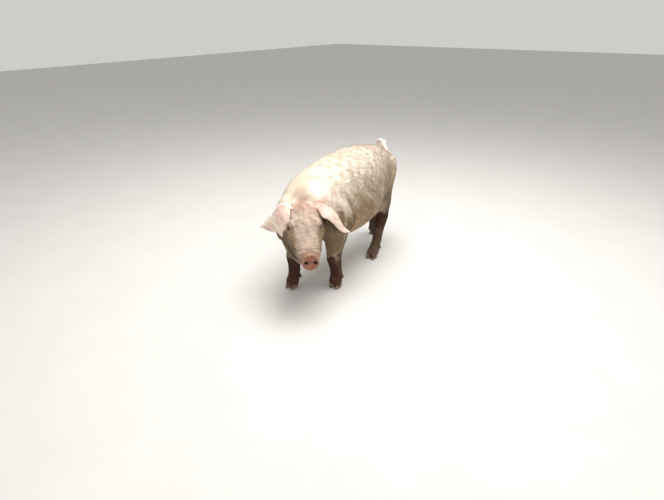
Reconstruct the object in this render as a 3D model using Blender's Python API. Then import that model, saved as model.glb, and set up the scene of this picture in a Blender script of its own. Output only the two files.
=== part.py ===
"""A life-size still model of a standing white domestic pig, built in parts that meet at thin cuts.

The pig stands on +Z up, its trunk along Y with the snout towards -Y and the tail towards +Y, and its own left side
towards +X. Its head is lowered and turned to its left. The flesh is lofted in overlapping tubes, fused and smoothed
as one body, carved at the eyes, nostrils and mouth, and then parted into head, neck, torso, tail, ears and legs.
All sizes are in metres and all angles in degrees.
"""

import math

import bmesh
import bpy
import numpy as np
from mathutils import Matrix, Vector
from mathutils.bvhtree import BVHTree

# Driving dimensions
WITHERS_HEIGHT = 0.66
HEAD_YAW = 45.0
HEAD_PITCH = 24.0
HEAD_ROLL = 3.0
HEAD_PLACE = (0.002, -0.440, 0.470)
EYE_RADIUS = 0.0125
LID_THICKNESS = 0.0030
EAR_THICKNESS = 0.0045
TAIL_RADIUS = 0.0095
TAIL_CURL_RADIUS = 0.025
FRONT_FEET_PLACE = -0.335
HIND_FEET_PLACE = 0.365
# How far each foot stands behind its pair's middle, and how far in from its usual place: left, then right.
FRONT_STRIDES = (0.078, -0.064)
FRONT_INSETS = (-0.010, 0.010)
HIND_STRIDES = (-0.185, 0.176)
HIND_INSETS = (0.0, 0.030)
CLAW_SPACING = 0.0165
HEAD_CUT_EASE = 6.0
FORELEG_CELL = 0.140
HIND_LEG_CELL = 0.165
GAP = 0.0003

# Fineness of the modelling
RING_POINTS = 36
LOFT_STEPS = 5
VOXEL = 0.0045
BROAD_SMOOTHING = 34
FINE_SMOOTHING = 5
EYE_RINGS = 11
FLESH_TRIANGLES = 6500
TRUNK_FINENESS = 0.03
HEAD_FINENESS = 0.10
FACE_FINENESS = 0.40
SLIVER = 0.00003

# The trunk's sections from rump to chest, each as a share of the withers' height:
# place along the back, centre height, half width, rise to the back, drop to the belly.
TRUNK_SECTIONS = (
    (0.765, 0.800, 0.030, 0.030, 0.050),
    (0.755, 0.800, 0.085, 0.060, 0.100),
    (0.715, 0.790, 0.130, 0.120, 0.190),
    (0.640, 0.775, 0.160, 0.198, 0.255),
    (0.520, 0.764, 0.186, 0.262, 0.300),
    (0.360, 0.754, 0.234, 0.306, 0.340),
    (0.180, 0.745, 0.280, 0.330, 0.368),
    (0.000, 0.738, 0.295, 0.335, 0.372),
    (-0.170, 0.732, 0.295, 0.325, 0.358),
    (-0.330, 0.728, 0.285, 0.308, 0.332),
    (-0.460, 0.726, 0.258, 0.280, 0.300),
    (-0.570, 0.726, 0.212, 0.238, 0.255),
    (-0.640, 0.730, 0.140, 0.165, 0.185),
    (-0.660, 0.732, 0.055, 0.070, 0.075),
)
TRUNK_ROUNDNESS = (0.90, 0.80)

# A leg's sections from inside the body down to the top of its claws:
# height, place outwards, place behind the foot, half width, reach forwards, reach backwards.
FORELEG_SECTIONS = (
    (0.570, 0.085, 0.050, 0.045, 0.080, 0.085),
    (0.500, 0.100, 0.045, 0.062, 0.105, 0.110),
    (0.420, 0.110, 0.035, 0.068, 0.105, 0.108),
    (0.360, 0.114, 0.030, 0.064, 0.088, 0.094),
    (0.300, 0.114, 0.022, 0.058, 0.067, 0.073),
    (0.255, 0.110, 0.012, 0.048, 0.054, 0.057),
    (0.220, 0.107, 0.006, 0.042, 0.046, 0.047),
    (0.180, 0.104, 0.001, 0.040, 0.042, 0.041),
    (0.150, 0.104, 0.002, 0.037, 0.037, 0.039),
    (0.115, 0.103, 0.006, 0.035, 0.033, 0.035),
    (0.085, 0.103, 0.006, 0.035, 0.034, 0.038),
    (0.060, 0.102, -0.002, 0.037, 0.034, 0.038),
    (0.040, 0.102, -0.010, 0.039, 0.035, 0.036),
    (0.022, 0.102, -0.014, 0.036, 0.031, 0.034),
)
HIND_LEG_SECTIONS = (
    (0.610, 0.065, 0.000, 0.045, 0.090, 0.080),
    (0.540, 0.076, 0.000, 0.062, 0.135, 0.106),
    (0.460, 0.080, -0.010, 0.063, 0.155, 0.116),
    (0.395, 0.086, -0.010, 0.062, 0.148, 0.106),
    (0.340, 0.095, 0.002, 0.057, 0.115, 0.088),
    (0.300, 0.100, 0.018, 0.046, 0.074, 0.066),
    (0.270, 0.101, 0.030, 0.040, 0.054, 0.053),
    (0.240, 0.102, 0.036, 0.037, 0.045, 0.049),
    (0.205, 0.103, 0.033, 0.035, 0.041, 0.043),
    (0.160, 0.103, 0.022, 0.032, 0.036, 0.036),
    (0.115, 0.103, 0.020, 0.031, 0.033, 0.034),
    (0.085, 0.103, 0.012, 0.033, 0.033, 0.037),
    (0.060, 0.103, 0.000, 0.036, 0.034, 0.038),
    (0.040, 0.103, -0.010, 0.038, 0.035, 0.036),
    (0.022, 0.103, -0.014, 0.035, 0.031, 0.034),
)
LEG_TOP = 0.57
FOOT_OUT = 0.102
LEADING_EASE = 0.8
TRAILING_EASE = 1.3

# A claw's outlines from its flat sole to its top: height, reach forwards, reach backwards, half width.
CLAW_SECTIONS = (
    (0.000, 0.036, 0.026, 0.0138),
    (0.005, 0.0365, 0.027, 0.0152),
    (0.020, 0.027, 0.028, 0.0150),
    (0.036, 0.016, 0.026, 0.0138),
    (0.046, 0.006, 0.018, 0.0100),
)
DEW_CLAW_HEIGHT = 0.066
DEW_CLAW_SECTIONS = (
    (-0.021, 0.0035),
    (-0.016, 0.0065),
    (-0.004, 0.0085),
    (0.006, 0.0085),
    (0.014, 0.0050),
)

# The head's sections from the neck to the snout, in head axes: forward, up, tilt, half width, rise, drop.
HEAD_SECTIONS = (
    (-0.110, -0.012, 0.0, 0.060, 0.060, 0.080),
    (-0.090, -0.012, 0.0, 0.110, 0.105, 0.140),
    (-0.040, -0.006, 0.0, 0.121, 0.112, 0.146),
    (0.015, 0.000, 0.0, 0.121, 0.104, 0.142),
    (0.070, 0.000, 0.0, 0.115, 0.085, 0.130),
    (0.120, 0.000, 0.0, 0.104, 0.063, 0.112),
    (0.165, 0.000, 0.0, 0.091, 0.046, 0.092),
    (0.210, 0.000, 2.0, 0.078, 0.038, 0.071),
    (0.250, 0.000, 8.0, 0.067, 0.036, 0.055),
    (0.282, -0.001, 17.0, 0.056, 0.036, 0.045),
    (0.303, -0.002, 25.0, 0.043, 0.035, 0.037),
    (0.314, -0.003, 30.0, 0.0435, 0.043, 0.041),
    (0.324, -0.002, 32.0, 0.0425, 0.042, 0.040),
    (0.3265, -0.002, 32.0, 0.033, 0.033, 0.031),
)
JAW_SECTIONS = (
    (0.000, -0.080, 0.0, 0.075, 0.040, 0.050),
    (0.030, -0.086, 0.0, 0.104, 0.055, 0.060),
    (0.090, -0.084, 0.0, 0.106, 0.055, 0.060),
    (0.150, -0.078, 0.0, 0.096, 0.045, 0.052),
    (0.200, -0.071, 4.0, 0.083, 0.032, 0.042),
    (0.240, -0.064, 8.0, 0.066, 0.022, 0.033),
    (0.270, -0.057, 12.0, 0.047, 0.016, 0.024),
    (0.287, -0.053, 14.0, 0.022, 0.009, 0.011),
)
EYE_PLACE = (0.120, 0.0735, 0.031)
EYE_LOOK = (0.52, 0.76, 0.38)
NOSTRIL_PLACE = (0.328, 0.0225, -0.001)
MOUTH_LINE = ((0.292, 0.030, -0.046), (0.262, 0.060, -0.050), (0.225, 0.082, -0.058), (0.185, 0.095, -0.060),
              (0.150, 0.104, -0.052))

# Each ear's rows from root to tip, in head axes: its back edge's place, its front edge's place, and how far it cups.
EARS = {
    "ear_left": (
        (-0.020, 0.080, 0.038, 0.045, 0.045, 0.066, 0.020),
        (-0.030, 0.108, 0.043, 0.050, 0.067, 0.082, 0.026),
        (-0.015, 0.136, 0.038, 0.088, 0.092, 0.062, 0.030),
        (0.000, 0.161, 0.027, 0.094, 0.116, 0.052, 0.028),
        (0.026, 0.189, -0.002, 0.100, 0.142, 0.034, 0.022),
        (0.052, 0.216, -0.032, 0.104, 0.181, -0.012, 0.014),
        (0.074, 0.238, -0.047, 0.102, 0.217, -0.045, 0.007),
        (0.092, 0.252, -0.050, 0.097, 0.250, -0.052, 0.0015),
    ),
    "ear_right": (
        (-0.018, -0.078, 0.040, 0.045, -0.045, 0.070, 0.016),
        (-0.028, -0.107, 0.047, 0.055, -0.066, 0.090, 0.024),
        (-0.022, -0.123, 0.033, 0.110, -0.078, 0.058, 0.030),
        (-0.018, -0.139, 0.011, 0.132, -0.104, -0.025, 0.030),
        (-0.014, -0.153, -0.010, 0.097, -0.127, -0.030, 0.022),
        (-0.010, -0.168, -0.031, 0.064, -0.150, -0.055, 0.016),
        (-0.006, -0.188, -0.055, 0.032, -0.178, -0.073, 0.009),
        (-0.001, -0.205, -0.076, 0.003, -0.204, -0.079, 0.0015),
    ),
}


def clear_scene():
    for item in list(bpy.data.objects):
        bpy.data.objects.remove(item)


def catmull_rom(rows, steps):
    """Rows of a table with steps - 1 smooth rows put in between each two."""
    rows = np.array(rows, float)
    padded = np.vstack([2 * rows[0] - rows[1], rows, 2 * rows[-1] - rows[-2]])
    made = []
    for i in range(len(rows) - 1):
        before, start, end, after = padded[i : i + 4]
        for t in np.arange(steps) / steps:
            made.append(
                0.5
                * (
                    2 * start
                    + (end - before) * t
                    + (2 * before - 5 * start + 4 * end - after) * t**2
                    + (3 * start - before - 3 * end + after) * t**3
                )
            )
    made.append(rows[-1])
    return np.array(made)


def section_ring(centre, side, up, half_width, rise, drop, roundness=(1, 1), points=RING_POINTS):
    """A closed egg-shaped ring round a centre, wide along side and high along up.

    Roundness, for the upper and lower half, is 1 for an ellipse and less for a squarer shape.
    """
    turn = np.linspace(0, 2 * math.pi, points, endpoint=False)
    power = np.where(np.sin(turn) > 0, *roundness)
    across = np.sign(np.cos(turn)) * np.abs(np.cos(turn)) ** power * half_width
    height = np.sign(np.sin(turn)) * np.abs(np.sin(turn)) ** power
    height = np.where(height > 0, height * rise, height * drop)
    return np.array(centre) + np.outer(across, side) + np.outer(height, up)


def loft(rings, name="loft"):
    """A closed tube through rings of equally many points, as an object with flat ends."""
    mesh = bpy.data.meshes.new(name)
    count = len(rings[0])
    faces = []
    for r in range(len(rings) - 1):
        for p in range(count):
            q = (p + 1) % count
            faces.append((r * count + p, r * count + q, (r + 1) * count + q, (r + 1) * count + p))
    faces.append(tuple(reversed(range(count))))
    faces.append(tuple(range((len(rings) - 1) * count, len(rings) * count)))
    mesh.from_pydata([tuple(p) for ring in rings for p in ring], [], faces)
    made = bpy.data.objects.new(name, mesh)
    bpy.context.scene.collection.objects.link(made)
    shape = bmesh.new()
    shape.from_mesh(mesh)
    bmesh.ops.recalc_face_normals(shape, faces=shape.faces)
    bmesh.ops.triangulate(shape, faces=shape.faces)
    shape.to_mesh(mesh)
    shape.free()
    return made


def ball(centre, radii, turn=None, rings=20):
    """A stretched sphere, its axes turned by a 3 x 3 matrix."""
    mesh = bpy.data.meshes.new("ball")
    shape = bmesh.new()
    bmesh.ops.create_uvsphere(shape, u_segments=rings + 4, v_segments=rings, radius=1)
    place = Matrix.Translation(Vector(centre))
    if turn is not None:
        place = place @ turn.to_4x4()
    shape.transform(place @ Matrix.Diagonal((*radii, 1)))
    bmesh.ops.triangulate(shape, faces=shape.faces)
    shape.to_mesh(mesh)
    shape.free()
    made = bpy.data.objects.new("ball", mesh)
    bpy.context.scene.collection.objects.link(made)
    return made


def head_axes():
    """The head's axes in the row frame: forward along the muzzle, to its left, and up."""
    turn = (
        Matrix.Rotation(math.radians(HEAD_YAW), 3, "Z")
        @ Matrix.Rotation(math.radians(HEAD_PITCH), 3, "X")
        @ Matrix.Rotation(math.radians(HEAD_ROLL), 3, "Y")
    )
    return turn @ Vector((0, -1, 0)), turn @ Vector((1, 0, 0)), turn @ Vector((0, 0, 1))


def along_head(forward, left, up):
    """A direction given in head axes, in the row frame."""
    ahead, side, top = head_axes()
    return ahead * forward + side * left + top * up


def in_head(forward, left, up):
    """A point given in head axes, in the row frame."""
    return Vector(HEAD_PLACE) + along_head(forward, left, up)


def head_tube(sections):
    rings = []
    for forward, up, tilt, half_width, rise, drop in catmull_rom(sections, LOFT_STEPS):
        lean = math.radians(tilt)
        top = along_head(-math.sin(lean), 0, math.cos(lean))
        rings.append(section_ring(in_head(forward, 0, up), along_head(0, 1, 0), top, half_width, rise, drop))
    return loft(rings)


def brow_and_ear_roots():
    """Swellings that the smoothing blends in: the brow over each eye, the cheekbone and the root of each ear."""
    made = []
    turn = Matrix((along_head(1, 0, 0), along_head(0, 1, 0), along_head(0, 0, 1))).transposed()
    for side in (1, -1):
        eye = in_head(EYE_PLACE[0], side * EYE_PLACE[1], EYE_PLACE[2])
        made.append(ball(eye, [EYE_RADIUS + LID_THICKNESS] * 3, turn))
        for place, radii in (
            ((0.104, 0.063, 0.048), (0.034, 0.024, 0.014)),
            ((0.100, 0.092, -0.012), (0.050, 0.020, 0.030)),
            ((0.014, 0.086, 0.054), (0.040, 0.032, 0.036)),
            ((0.030, 0.092, -0.085), (0.055, 0.036, 0.050)),
        ):
            made.append(ball(in_head(place[0], side * place[1], place[2]), radii, turn))
    return made


def trunk_tube():
    rings = []
    for place, height, half_width, rise, drop in catmull_rom(TRUNK_SECTIONS, LOFT_STEPS) * WITHERS_HEIGHT:
        centre = (0, place, height)
        rings.append(section_ring(centre, (1, 0, 0), (0, 0, 1), half_width, rise, drop, TRUNK_ROUNDNESS))
    return loft(rings)


def neck_tube():
    """The neck bends from between the shoulders into the back of the head."""
    start, start_way = Vector((0, -0.215, 0.488)), Vector((0, -1, 0))
    end, end_way = in_head(0.035, 0, -0.012), along_head(1, 0, 0)
    reach = (end - start).length
    first = np.array((0.170, 0.192, 0.200))
    last = np.array((0.112, 0.098, 0.130))
    rings = []
    for t in np.linspace(0, 1, 14):
        ease = t * t * (3 - 2 * t)
        centre = (
            start * (2 * t**3 - 3 * t**2 + 1)
            + start_way * (reach * (t**3 - 2 * t**2 + t))
            + end * (3 * t**2 - 2 * t**3)
            + end_way * (reach * (t**3 - t**2))
        )
        way = start_way.lerp(end_way, ease).normalized()
        side = way.cross(Vector((0, 0, 1)).lerp(along_head(0, 0, 1), ease)).normalized()
        up = side.cross(way).normalized()
        thick = 1 + 0.10 * math.sin(math.pi * t)
        rings.append(section_ring(centre, side, up, *((first + (last - first) * ease) * thick)))
    return loft(rings)


def swing(height, stride):
    """How much of a foot's stride a leg has taken up at a height."""
    share = max(0.0, (LEG_TOP - height) / LEG_TOP)
    return share ** (LEADING_EASE if stride < 0 else TRAILING_EASE)


def leg_tube(sections, side, feet_place, stride, inset):
    """A leg from inside the body to the top of the claws. Stride moves the foot back from the pair's middle."""
    rings = []
    for height, out, back, half_width, ahead, behind in catmull_rom(sections, LOFT_STEPS):
        share = swing(height, stride)
        centre = (side * (out - inset * share), feet_place + back + stride * share, height)
        rings.append(section_ring(centre, (1, 0, 0), (0, 1, 0), half_width, behind, ahead))
    return loft(rings)


def joined(items, name):
    bpy.ops.object.select_all(action="DESELECT")
    for item in items:
        item.select_set(True)
    bpy.context.view_layer.objects.active = items[0]
    bpy.ops.object.join()
    items[0].name = name
    return items[0]


def applied(item):
    """The item with its modifiers made part of its mesh."""
    bpy.context.view_layer.update()
    graph = bpy.context.evaluated_depsgraph_get()
    mesh = bpy.data.meshes.new_from_object(item.evaluated_get(graph))
    item.modifiers.clear()
    item.data = mesh
    return item


def fused(item, voxel):
    remesh = item.modifiers.new("fuse", "REMESH")
    remesh.mode = "VOXEL"
    remesh.voxel_size = voxel
    return applied(item)


def points_of(item):
    places = np.empty(len(item.data.vertices) * 3)
    item.data.vertices.foreach_get("co", places)
    return places.reshape(-1, 3)


def head_forward(places):
    """How far ahead of the poll each point lies along the head."""
    return (places - np.array(HEAD_PLACE)) @ np.array(along_head(1, 0, 0))


def weighted(item, name, weights):
    """A vertex group holding one weight for each point."""
    group = item.vertex_groups.new(name=name)
    for index, weight in enumerate(weights):
        if weight > 0.01:
            group.add([index], float(weight), "REPLACE")
    return group.name


def smoothed(item):
    """Smooths the trunk and the tops of the legs strongly, the face and feet only a little."""
    places = points_of(item)
    face = np.clip(head_forward(places) / 0.10, 0, 1)
    face *= (np.linalg.norm(places - np.array(in_head(0.12, 0, -0.03)), axis=1) < 0.26)
    foot = np.clip((0.36 - places[:, 2]) / 0.14, 0, 1)
    weighted(item, "broad", 1 - np.maximum(face, foot))
    for iterations, group in ((BROAD_SMOOTHING, "broad"), (FINE_SMOOTHING, "")):
        soften = item.modifiers.new("soften", "SMOOTH")
        soften.factor = 0.5
        soften.iterations = iterations
        soften.vertex_group = group
    applied(item)
    item.vertex_groups.clear()
    return item


def thinned(item, triangles):
    """The item with fewer triangles. The eyes, nose and mouth keep the most and the trunk more than its curves need."""
    places = points_of(item)
    keep = np.full(len(places), TRUNK_FINENESS)
    keep[np.linalg.norm(places - np.array(in_head(0.12, 0, -0.03)), axis=1) < 0.22] = HEAD_FINENESS
    keep[places[:, 2] < 0.30] = 0
    for side in (1, -1):
        for place, reach in ((EYE_PLACE, 0.024), (NOSTRIL_PLACE, 0.016)):
            away = np.linalg.norm(places - np.array(in_head(place[0], side * place[1], place[2])), axis=1)
            keep[away < reach] = FACE_FINENESS
    group = weighted(item, "coarse", 1 - keep)
    item.data.calc_loop_triangles()
    decimate = item.modifiers.new("thin", "DECIMATE")
    decimate.ratio = triangles / len(item.data.loop_triangles)
    decimate.vertex_group = group
    decimate.vertex_group_factor = 1.0
    decimate.use_collapse_triangulate = True
    applied(item)
    item.vertex_groups.clear()
    return item


def is_closed(item):
    shape = bmesh.new()
    shape.from_mesh(item.data)
    closed = all(len(edge.link_faces) == 2 for edge in shape.edges)
    shape.free()
    return closed


def boolean(item, tool, operation):
    """Cuts or joins by the exact solver, or by the manifold solver where that one leaves an open or doubled edge."""
    before = item.data
    for solver in ("EXACT", "MANIFOLD"):
        item.data = before
        cut = item.modifiers.new("cut", "BOOLEAN")
        cut.operation = operation
        cut.solver = solver
        cut.object = tool
        applied(item)
        if is_closed(item):
            break
    return item


def largest_piece(item):
    """Keeps the item's largest closed surface, and merges its slivers where that leaves it closed."""
    shape = bmesh.new()
    shape.from_mesh(item.data)
    shape.faces.ensure_lookup_table()
    left, pieces = set(shape.faces), []
    while left:
        piece, front = set(), [left.pop()]
        while front:
            face = front.pop()
            piece.add(face)
            for edge in face.edges:
                for other in edge.link_faces:
                    if other in left:
                        left.remove(other)
                        front.append(other)
        pieces.append(piece)
    pieces.sort(key=lambda piece: sum(face.calc_area() for face in piece))
    spare = [face for piece in pieces[:-1] for face in piece]
    bmesh.ops.delete(shape, geom=spare, context="FACES")
    shape.to_mesh(item.data)
    bmesh.ops.remove_doubles(shape, verts=shape.verts, dist=SLIVER)
    bmesh.ops.dissolve_degenerate(shape, edges=shape.edges, dist=SLIVER)
    bmesh.ops.triangulate(shape, faces=shape.faces)
    if all(len(edge.link_faces) == 2 for edge in shape.edges):
        shape.to_mesh(item.data)
    shape.free()
    return item


def copied(item, name):
    twin = item.copy()
    twin.data = item.data.copy()
    twin.name = name
    bpy.context.scene.collection.objects.link(twin)
    return twin


def removed(*items):
    for item in items:
        bpy.data.objects.remove(item)


def swollen(item, by):
    """A copy of the item, grown outwards by a small amount."""
    twin = copied(item, "swollen")
    grow = twin.modifiers.new("grow", "DISPLACE")
    grow.mid_level = 0
    grow.strength = by
    return applied(twin)


def feet():
    """Each foot's end and hand, side, its pair's place, and how far it stands behind and in from that."""
    for end, feet_place, strides, insets in (
        ("front", FRONT_FEET_PLACE, FRONT_STRIDES, FRONT_INSETS),
        ("hind", HIND_FEET_PLACE, HIND_STRIDES, HIND_INSETS),
    ):
        for hand, side, stride, inset in zip(("left", "right"), (1, -1), strides, insets):
            yield end, hand, side, feet_place, stride, inset


def flesh():
    tubes = [trunk_tube(), neck_tube(), head_tube(HEAD_SECTIONS), head_tube(JAW_SECTIONS)]
    for end, hand, side, feet_place, stride, inset in feet():
        sections = FORELEG_SECTIONS if end == "front" else HIND_LEG_SECTIONS
        tubes.append(leg_tube(sections, side, feet_place, stride, inset))
    tubes += brow_and_ear_roots()
    body = joined(tubes, "flesh")
    return smoothed(fused(body, VOXEL))


def look_turn(side):
    """A turn whose third axis is the way that an eye looks and whose first runs from its back corner to its front."""
    look = along_head(EYE_LOOK[0], side * EYE_LOOK[1], EYE_LOOK[2]).normalized()
    ahead = along_head(1, 0, -0.35)
    ahead = (ahead - look * ahead.dot(look)).normalized()
    return Matrix((ahead, look.cross(ahead), look)).transposed()


def almond(side):
    """The opening between the lids, as a solid from the eye's middle outwards."""
    turn = look_turn(side)
    centre = in_head(EYE_PLACE[0], side * EYE_PLACE[1], EYE_PLACE[2])
    rings = []
    for out, length, height in ((0.004, 0.0070, 0.0040), (0.030, 0.0200, 0.0140)):
        way = np.linspace(0, 2 * math.pi, 20, endpoint=False)
        across = np.cos(way) * length
        rise = np.sin(way) * height * (1 - 0.35 * np.abs(np.cos(way)) ** 2)
        ring = [centre + turn @ Vector((a, r, out)) for a, r in zip(across, rise)]
        rings.append(np.array(ring))
    return loft(rings)


def eye_balls():
    made = []
    for side, name in ((1, "eye_left"), (-1, "eye_right")):
        centre = in_head(EYE_PLACE[0], side * EYE_PLACE[1], EYE_PLACE[2])
        eye = ball(centre, [EYE_RADIUS] * 3, look_turn(side), rings=EYE_RINGS)
        eye.name = name
        made.append(eye)
    return made


def nostril(side):
    lean = math.radians(32)
    place = in_head(NOSTRIL_PLACE[0], side * NOSTRIL_PLACE[1], NOSTRIL_PLACE[2])
    out = along_head(math.cos(lean), side * 0.10, math.sin(lean)).normalized()
    across = along_head(0.1 * side, 1, -0.35 * side)
    across = (across - out * across.dot(out)).normalized()
    turn = Matrix((across, out.cross(across), out)).transposed()
    return ball(place, (0.0085, 0.0058, 0.016), turn, rings=16)


def lip_groove(surface, side):
    """A wedge along the line of the lips on one side, followed along the surface."""
    rings = []
    path = catmull_rom([(forward, side * left, up) for forward, left, up in MOUTH_LINE], 5)
    places = [surface.find_nearest(in_head(*row)) for row in path]
    for i, (place, outward, _, _) in enumerate(places):
        way = (places[min(i + 1, len(places) - 1)][0] - places[max(i - 1, 0)][0]).normalized()
        across = way.cross(outward).normalized()
        radius = 0.0026 * (0.35 + 0.65 * math.sin(math.pi * (i + 0.6) / len(places)) ** 0.5)
        rings.append(section_ring(place, across, outward, radius, 0.006, radius * 1.6, points=8))
    return loft(rings)


def carve_face(body):
    """Opens the lids, the nostrils and the line of the mouth."""
    surface = BVHTree.FromObject(body, bpy.context.evaluated_depsgraph_get())
    cutters = []
    for side in (1, -1):
        cutters += [almond(side), nostril(side), lip_groove(surface, side)]
    cutter = joined(cutters, "cutter")
    boolean(body, cutter, "DIFFERENCE")
    removed(cutter)


def claw_pair(side, feet_place, stride, inset, name):
    """The two walking claws and two dew claws of one foot."""
    made = []
    foot = Vector((side * (FOOT_OUT - inset), feet_place - 0.012 + stride, 0))
    share = swing(DEW_CLAW_HEIGHT, stride)
    heel = Vector((side * (FOOT_OUT - inset * share), feet_place + 0.026 + stride * share, DEW_CLAW_HEIGHT))
    for toe, place in ((1, "outer"), (-1, "inner")):
        out = side * toe
        rings = []
        for height, ahead, behind, half_width in CLAW_SECTIONS:
            centre = foot + Vector((out * CLAW_SPACING, 0, height))
            rings.append(section_ring(centre, (1, 0, 0), (0, 1, 0), half_width, behind, ahead, points=14))
        splay = math.radians(-4) * out
        about = np.array(foot + Vector((out * CLAW_SPACING, 0, 0)))
        turn = np.array(Matrix.Rotation(-splay, 3, "Z"))
        rings = [(ring - about) @ turn.T + about for ring in rings]
        made.append(loft(rings, f"claw_{name}_{place}"))
        root = heel + Vector((out * 0.021, 0, 0))
        way = Vector((out * 0.25, 0.45, -1)).normalized()
        across = way.cross(Vector((0, 1, 0))).normalized()
        rings = []
        for up, radius in DEW_CLAW_SECTIONS:
            rings.append(section_ring(root - way * up, across, way.cross(across), radius, radius, radius, points=8))
        made.append(loft(rings, f"dewclaw_{name}_{place}"))
    return made


def claws_of_all_feet():
    made = []
    for end, hand, side, feet_place, stride, inset in feet():
        made += claw_pair(side, feet_place, stride, inset, f"{end}_{hand}")
    return made


def make_room(body, items):
    """Hollows the flesh round eyes and claws, a thin gap away from them."""
    cutter = joined([swollen(item, GAP) for item in items], "cutter")
    boolean(body, cutter, "DIFFERENCE")
    removed(cutter)


def ear(name):
    """A cupped leaf from the side of the poll to its tip, between its back edge and its front edge."""
    rows = catmull_rom(EARS[name], 2)
    side = math.copysign(1, rows[-1][1])
    edges = [(in_head(*row[:3]), in_head(*row[3:6])) for row in rows]
    middles = [(back + front) / 2 for back, front in edges]
    rings = []
    for i, (back, front) in enumerate(edges):
        wide = front - back
        half = wide.length / 2
        wide.normalize()
        axis = middles[min(i + 1, len(rows) - 1)] - middles[max(i - 1, 0)]
        out = (axis - wide * axis.dot(wide)).normalized().cross(wide) * -side
        cup = rows[i][6]
        radius = (half * half + cup * cup) / (2 * cup)
        spread = math.atan2(half, radius - cup)
        thick = EAR_THICKNESS * (1.4 - 0.8 * i / len(rows))
        ring = []
        for inner in (0, 1):
            for step in np.linspace(-1, 1, 9):
                v = -step if inner else step
                rim = 1 - 0.45 * abs(v) ** 6
                reach = radius - (0.5 + (inner - 0.5) * rim) * thick
                turn = v * spread
                shift = out * (cup - radius + reach * math.cos(turn)) + wide * (reach * math.sin(turn))
                ring.append(middles[i] + shift)
        rings.append(np.array(ring))
    return loft(rings, name)


def tail():
    """A tapering tail that rises from the rump and makes one open curl to the pig's right."""
    path = [Vector((0, 0.458, 0.562)), Vector((0.003, 0.492, 0.584)), Vector((-0.002, 0.510, 0.610))]
    middle = Vector((-0.028 - TAIL_CURL_RADIUS, 0.513, 0.640))
    for turn in np.radians(np.arange(0, 421, 35)):
        swing = Vector((math.cos(turn), 0, math.sin(turn))) * TAIL_CURL_RADIUS
        path.append(middle + swing + Vector((0, 0.028 * turn / math.tau, 0)))
    places = catmull_rom([tuple(p) for p in path], 2)
    rings = []
    for i, place in enumerate(places):
        way = Vector(places[min(i + 1, len(places) - 1)] - places[max(i - 1, 0)]).normalized()
        side = way.cross(Vector((0, 1, 0.3))).normalized()
        radius = TAIL_RADIUS * (1.25 - 0.75 * i / len(places))
        rings.append(section_ring(place, side, way.cross(side), radius, radius, radius, points=10))
    return loft(rings, "tail")


def box_cell(corner, axes, low, high, grow):
    """A closed box along three axes, reaching from low to high from a point, and grown on every side."""
    mesh = bpy.data.meshes.new("cell")
    shape = bmesh.new()
    bmesh.ops.create_cube(shape, size=1)
    low, high = Vector(low) - Vector((grow, grow, grow)), Vector(high) + Vector((grow, grow, grow))
    shape.transform(Matrix.Translation((low + high) / 2) @ Matrix.Diagonal((*(high - low), 1)))
    shape.transform(Matrix.Translation(corner) @ Matrix(axes).transposed().to_4x4())
    shape.to_mesh(mesh)
    shape.free()
    made = bpy.data.objects.new("cell", mesh)
    bpy.context.scene.collection.objects.link(made)
    return made


def cut_axes(ahead):
    """Three axes for a cell whose back face looks along ahead: forward, to the left, and up."""
    ahead = ahead.normalized()
    left = Vector((0, 0, 1)).cross(ahead).normalized()
    return ahead, left, ahead.cross(left)


def head_cell(grow):
    ahead = Matrix.Rotation(math.radians(-HEAD_CUT_EASE), 3, "Z") @ along_head(1, 0, 0)
    return box_cell(in_head(0, 0, 0), cut_axes(ahead), (-0.012, -0.16, -0.19), (0.5, 0.135, 0.25), grow)


def neck_cell(grow):
    ahead = Vector((0.24, -0.93, 0.30))
    return box_cell(Vector((0, -0.335, 0.50)), cut_axes(ahead), (0, -0.5, -0.22), (0.8, 0.5, 0.6), grow)


def leg_cell(side, feet_place, stride, half_length, grow):
    centre = (side * 0.118, feet_place + 0.016 + stride * 0.75, 0.13)
    radii = (0.108 + grow, half_length + grow, 0.285 + grow)
    return ball(centre, radii, rings=26)


def part_off(body, name, cell):
    """Takes what lies inside a cell off the body as a node of its own, with the thin gap between them."""
    near, wide = cell(0), cell(GAP)
    piece = boolean(copied(body, name), near, "INTERSECT")
    boolean(body, wide, "DIFFERENCE")
    removed(near, wide)
    return largest_piece(piece)


def grown_on(items, body):
    """Trims ears or a tail to meet the body they grow from."""
    for item in items:
        room = swollen(body, GAP)
        boolean(item, room, "DIFFERENCE")
        removed(room)
        largest_piece(item)


def painted(item, colour, roughness):
    material = bpy.data.materials.new(item.name)
    material.use_nodes = True
    finish = material.node_tree.nodes["Principled BSDF"]
    finish.inputs["Base Color"].default_value = (*colour, 1)
    finish.inputs["Roughness"].default_value = roughness
    finish.inputs["Metallic"].default_value = 0
    item.data.materials.clear()
    item.data.materials.append(material)
    item.data.shade_smooth()


def set_on_origin(items):
    """Moves every node so that the middle of the model's box stands on the origin."""
    places = np.vstack([points_of(item) for item in items])
    low, high = places.min(0), places.max(0)
    shift = Vector((-(low[0] + high[0]) / 2, -(low[1] + high[1]) / 2, -low[2]))
    for item in items:
        item.data.transform(Matrix.Translation(shift))


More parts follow.
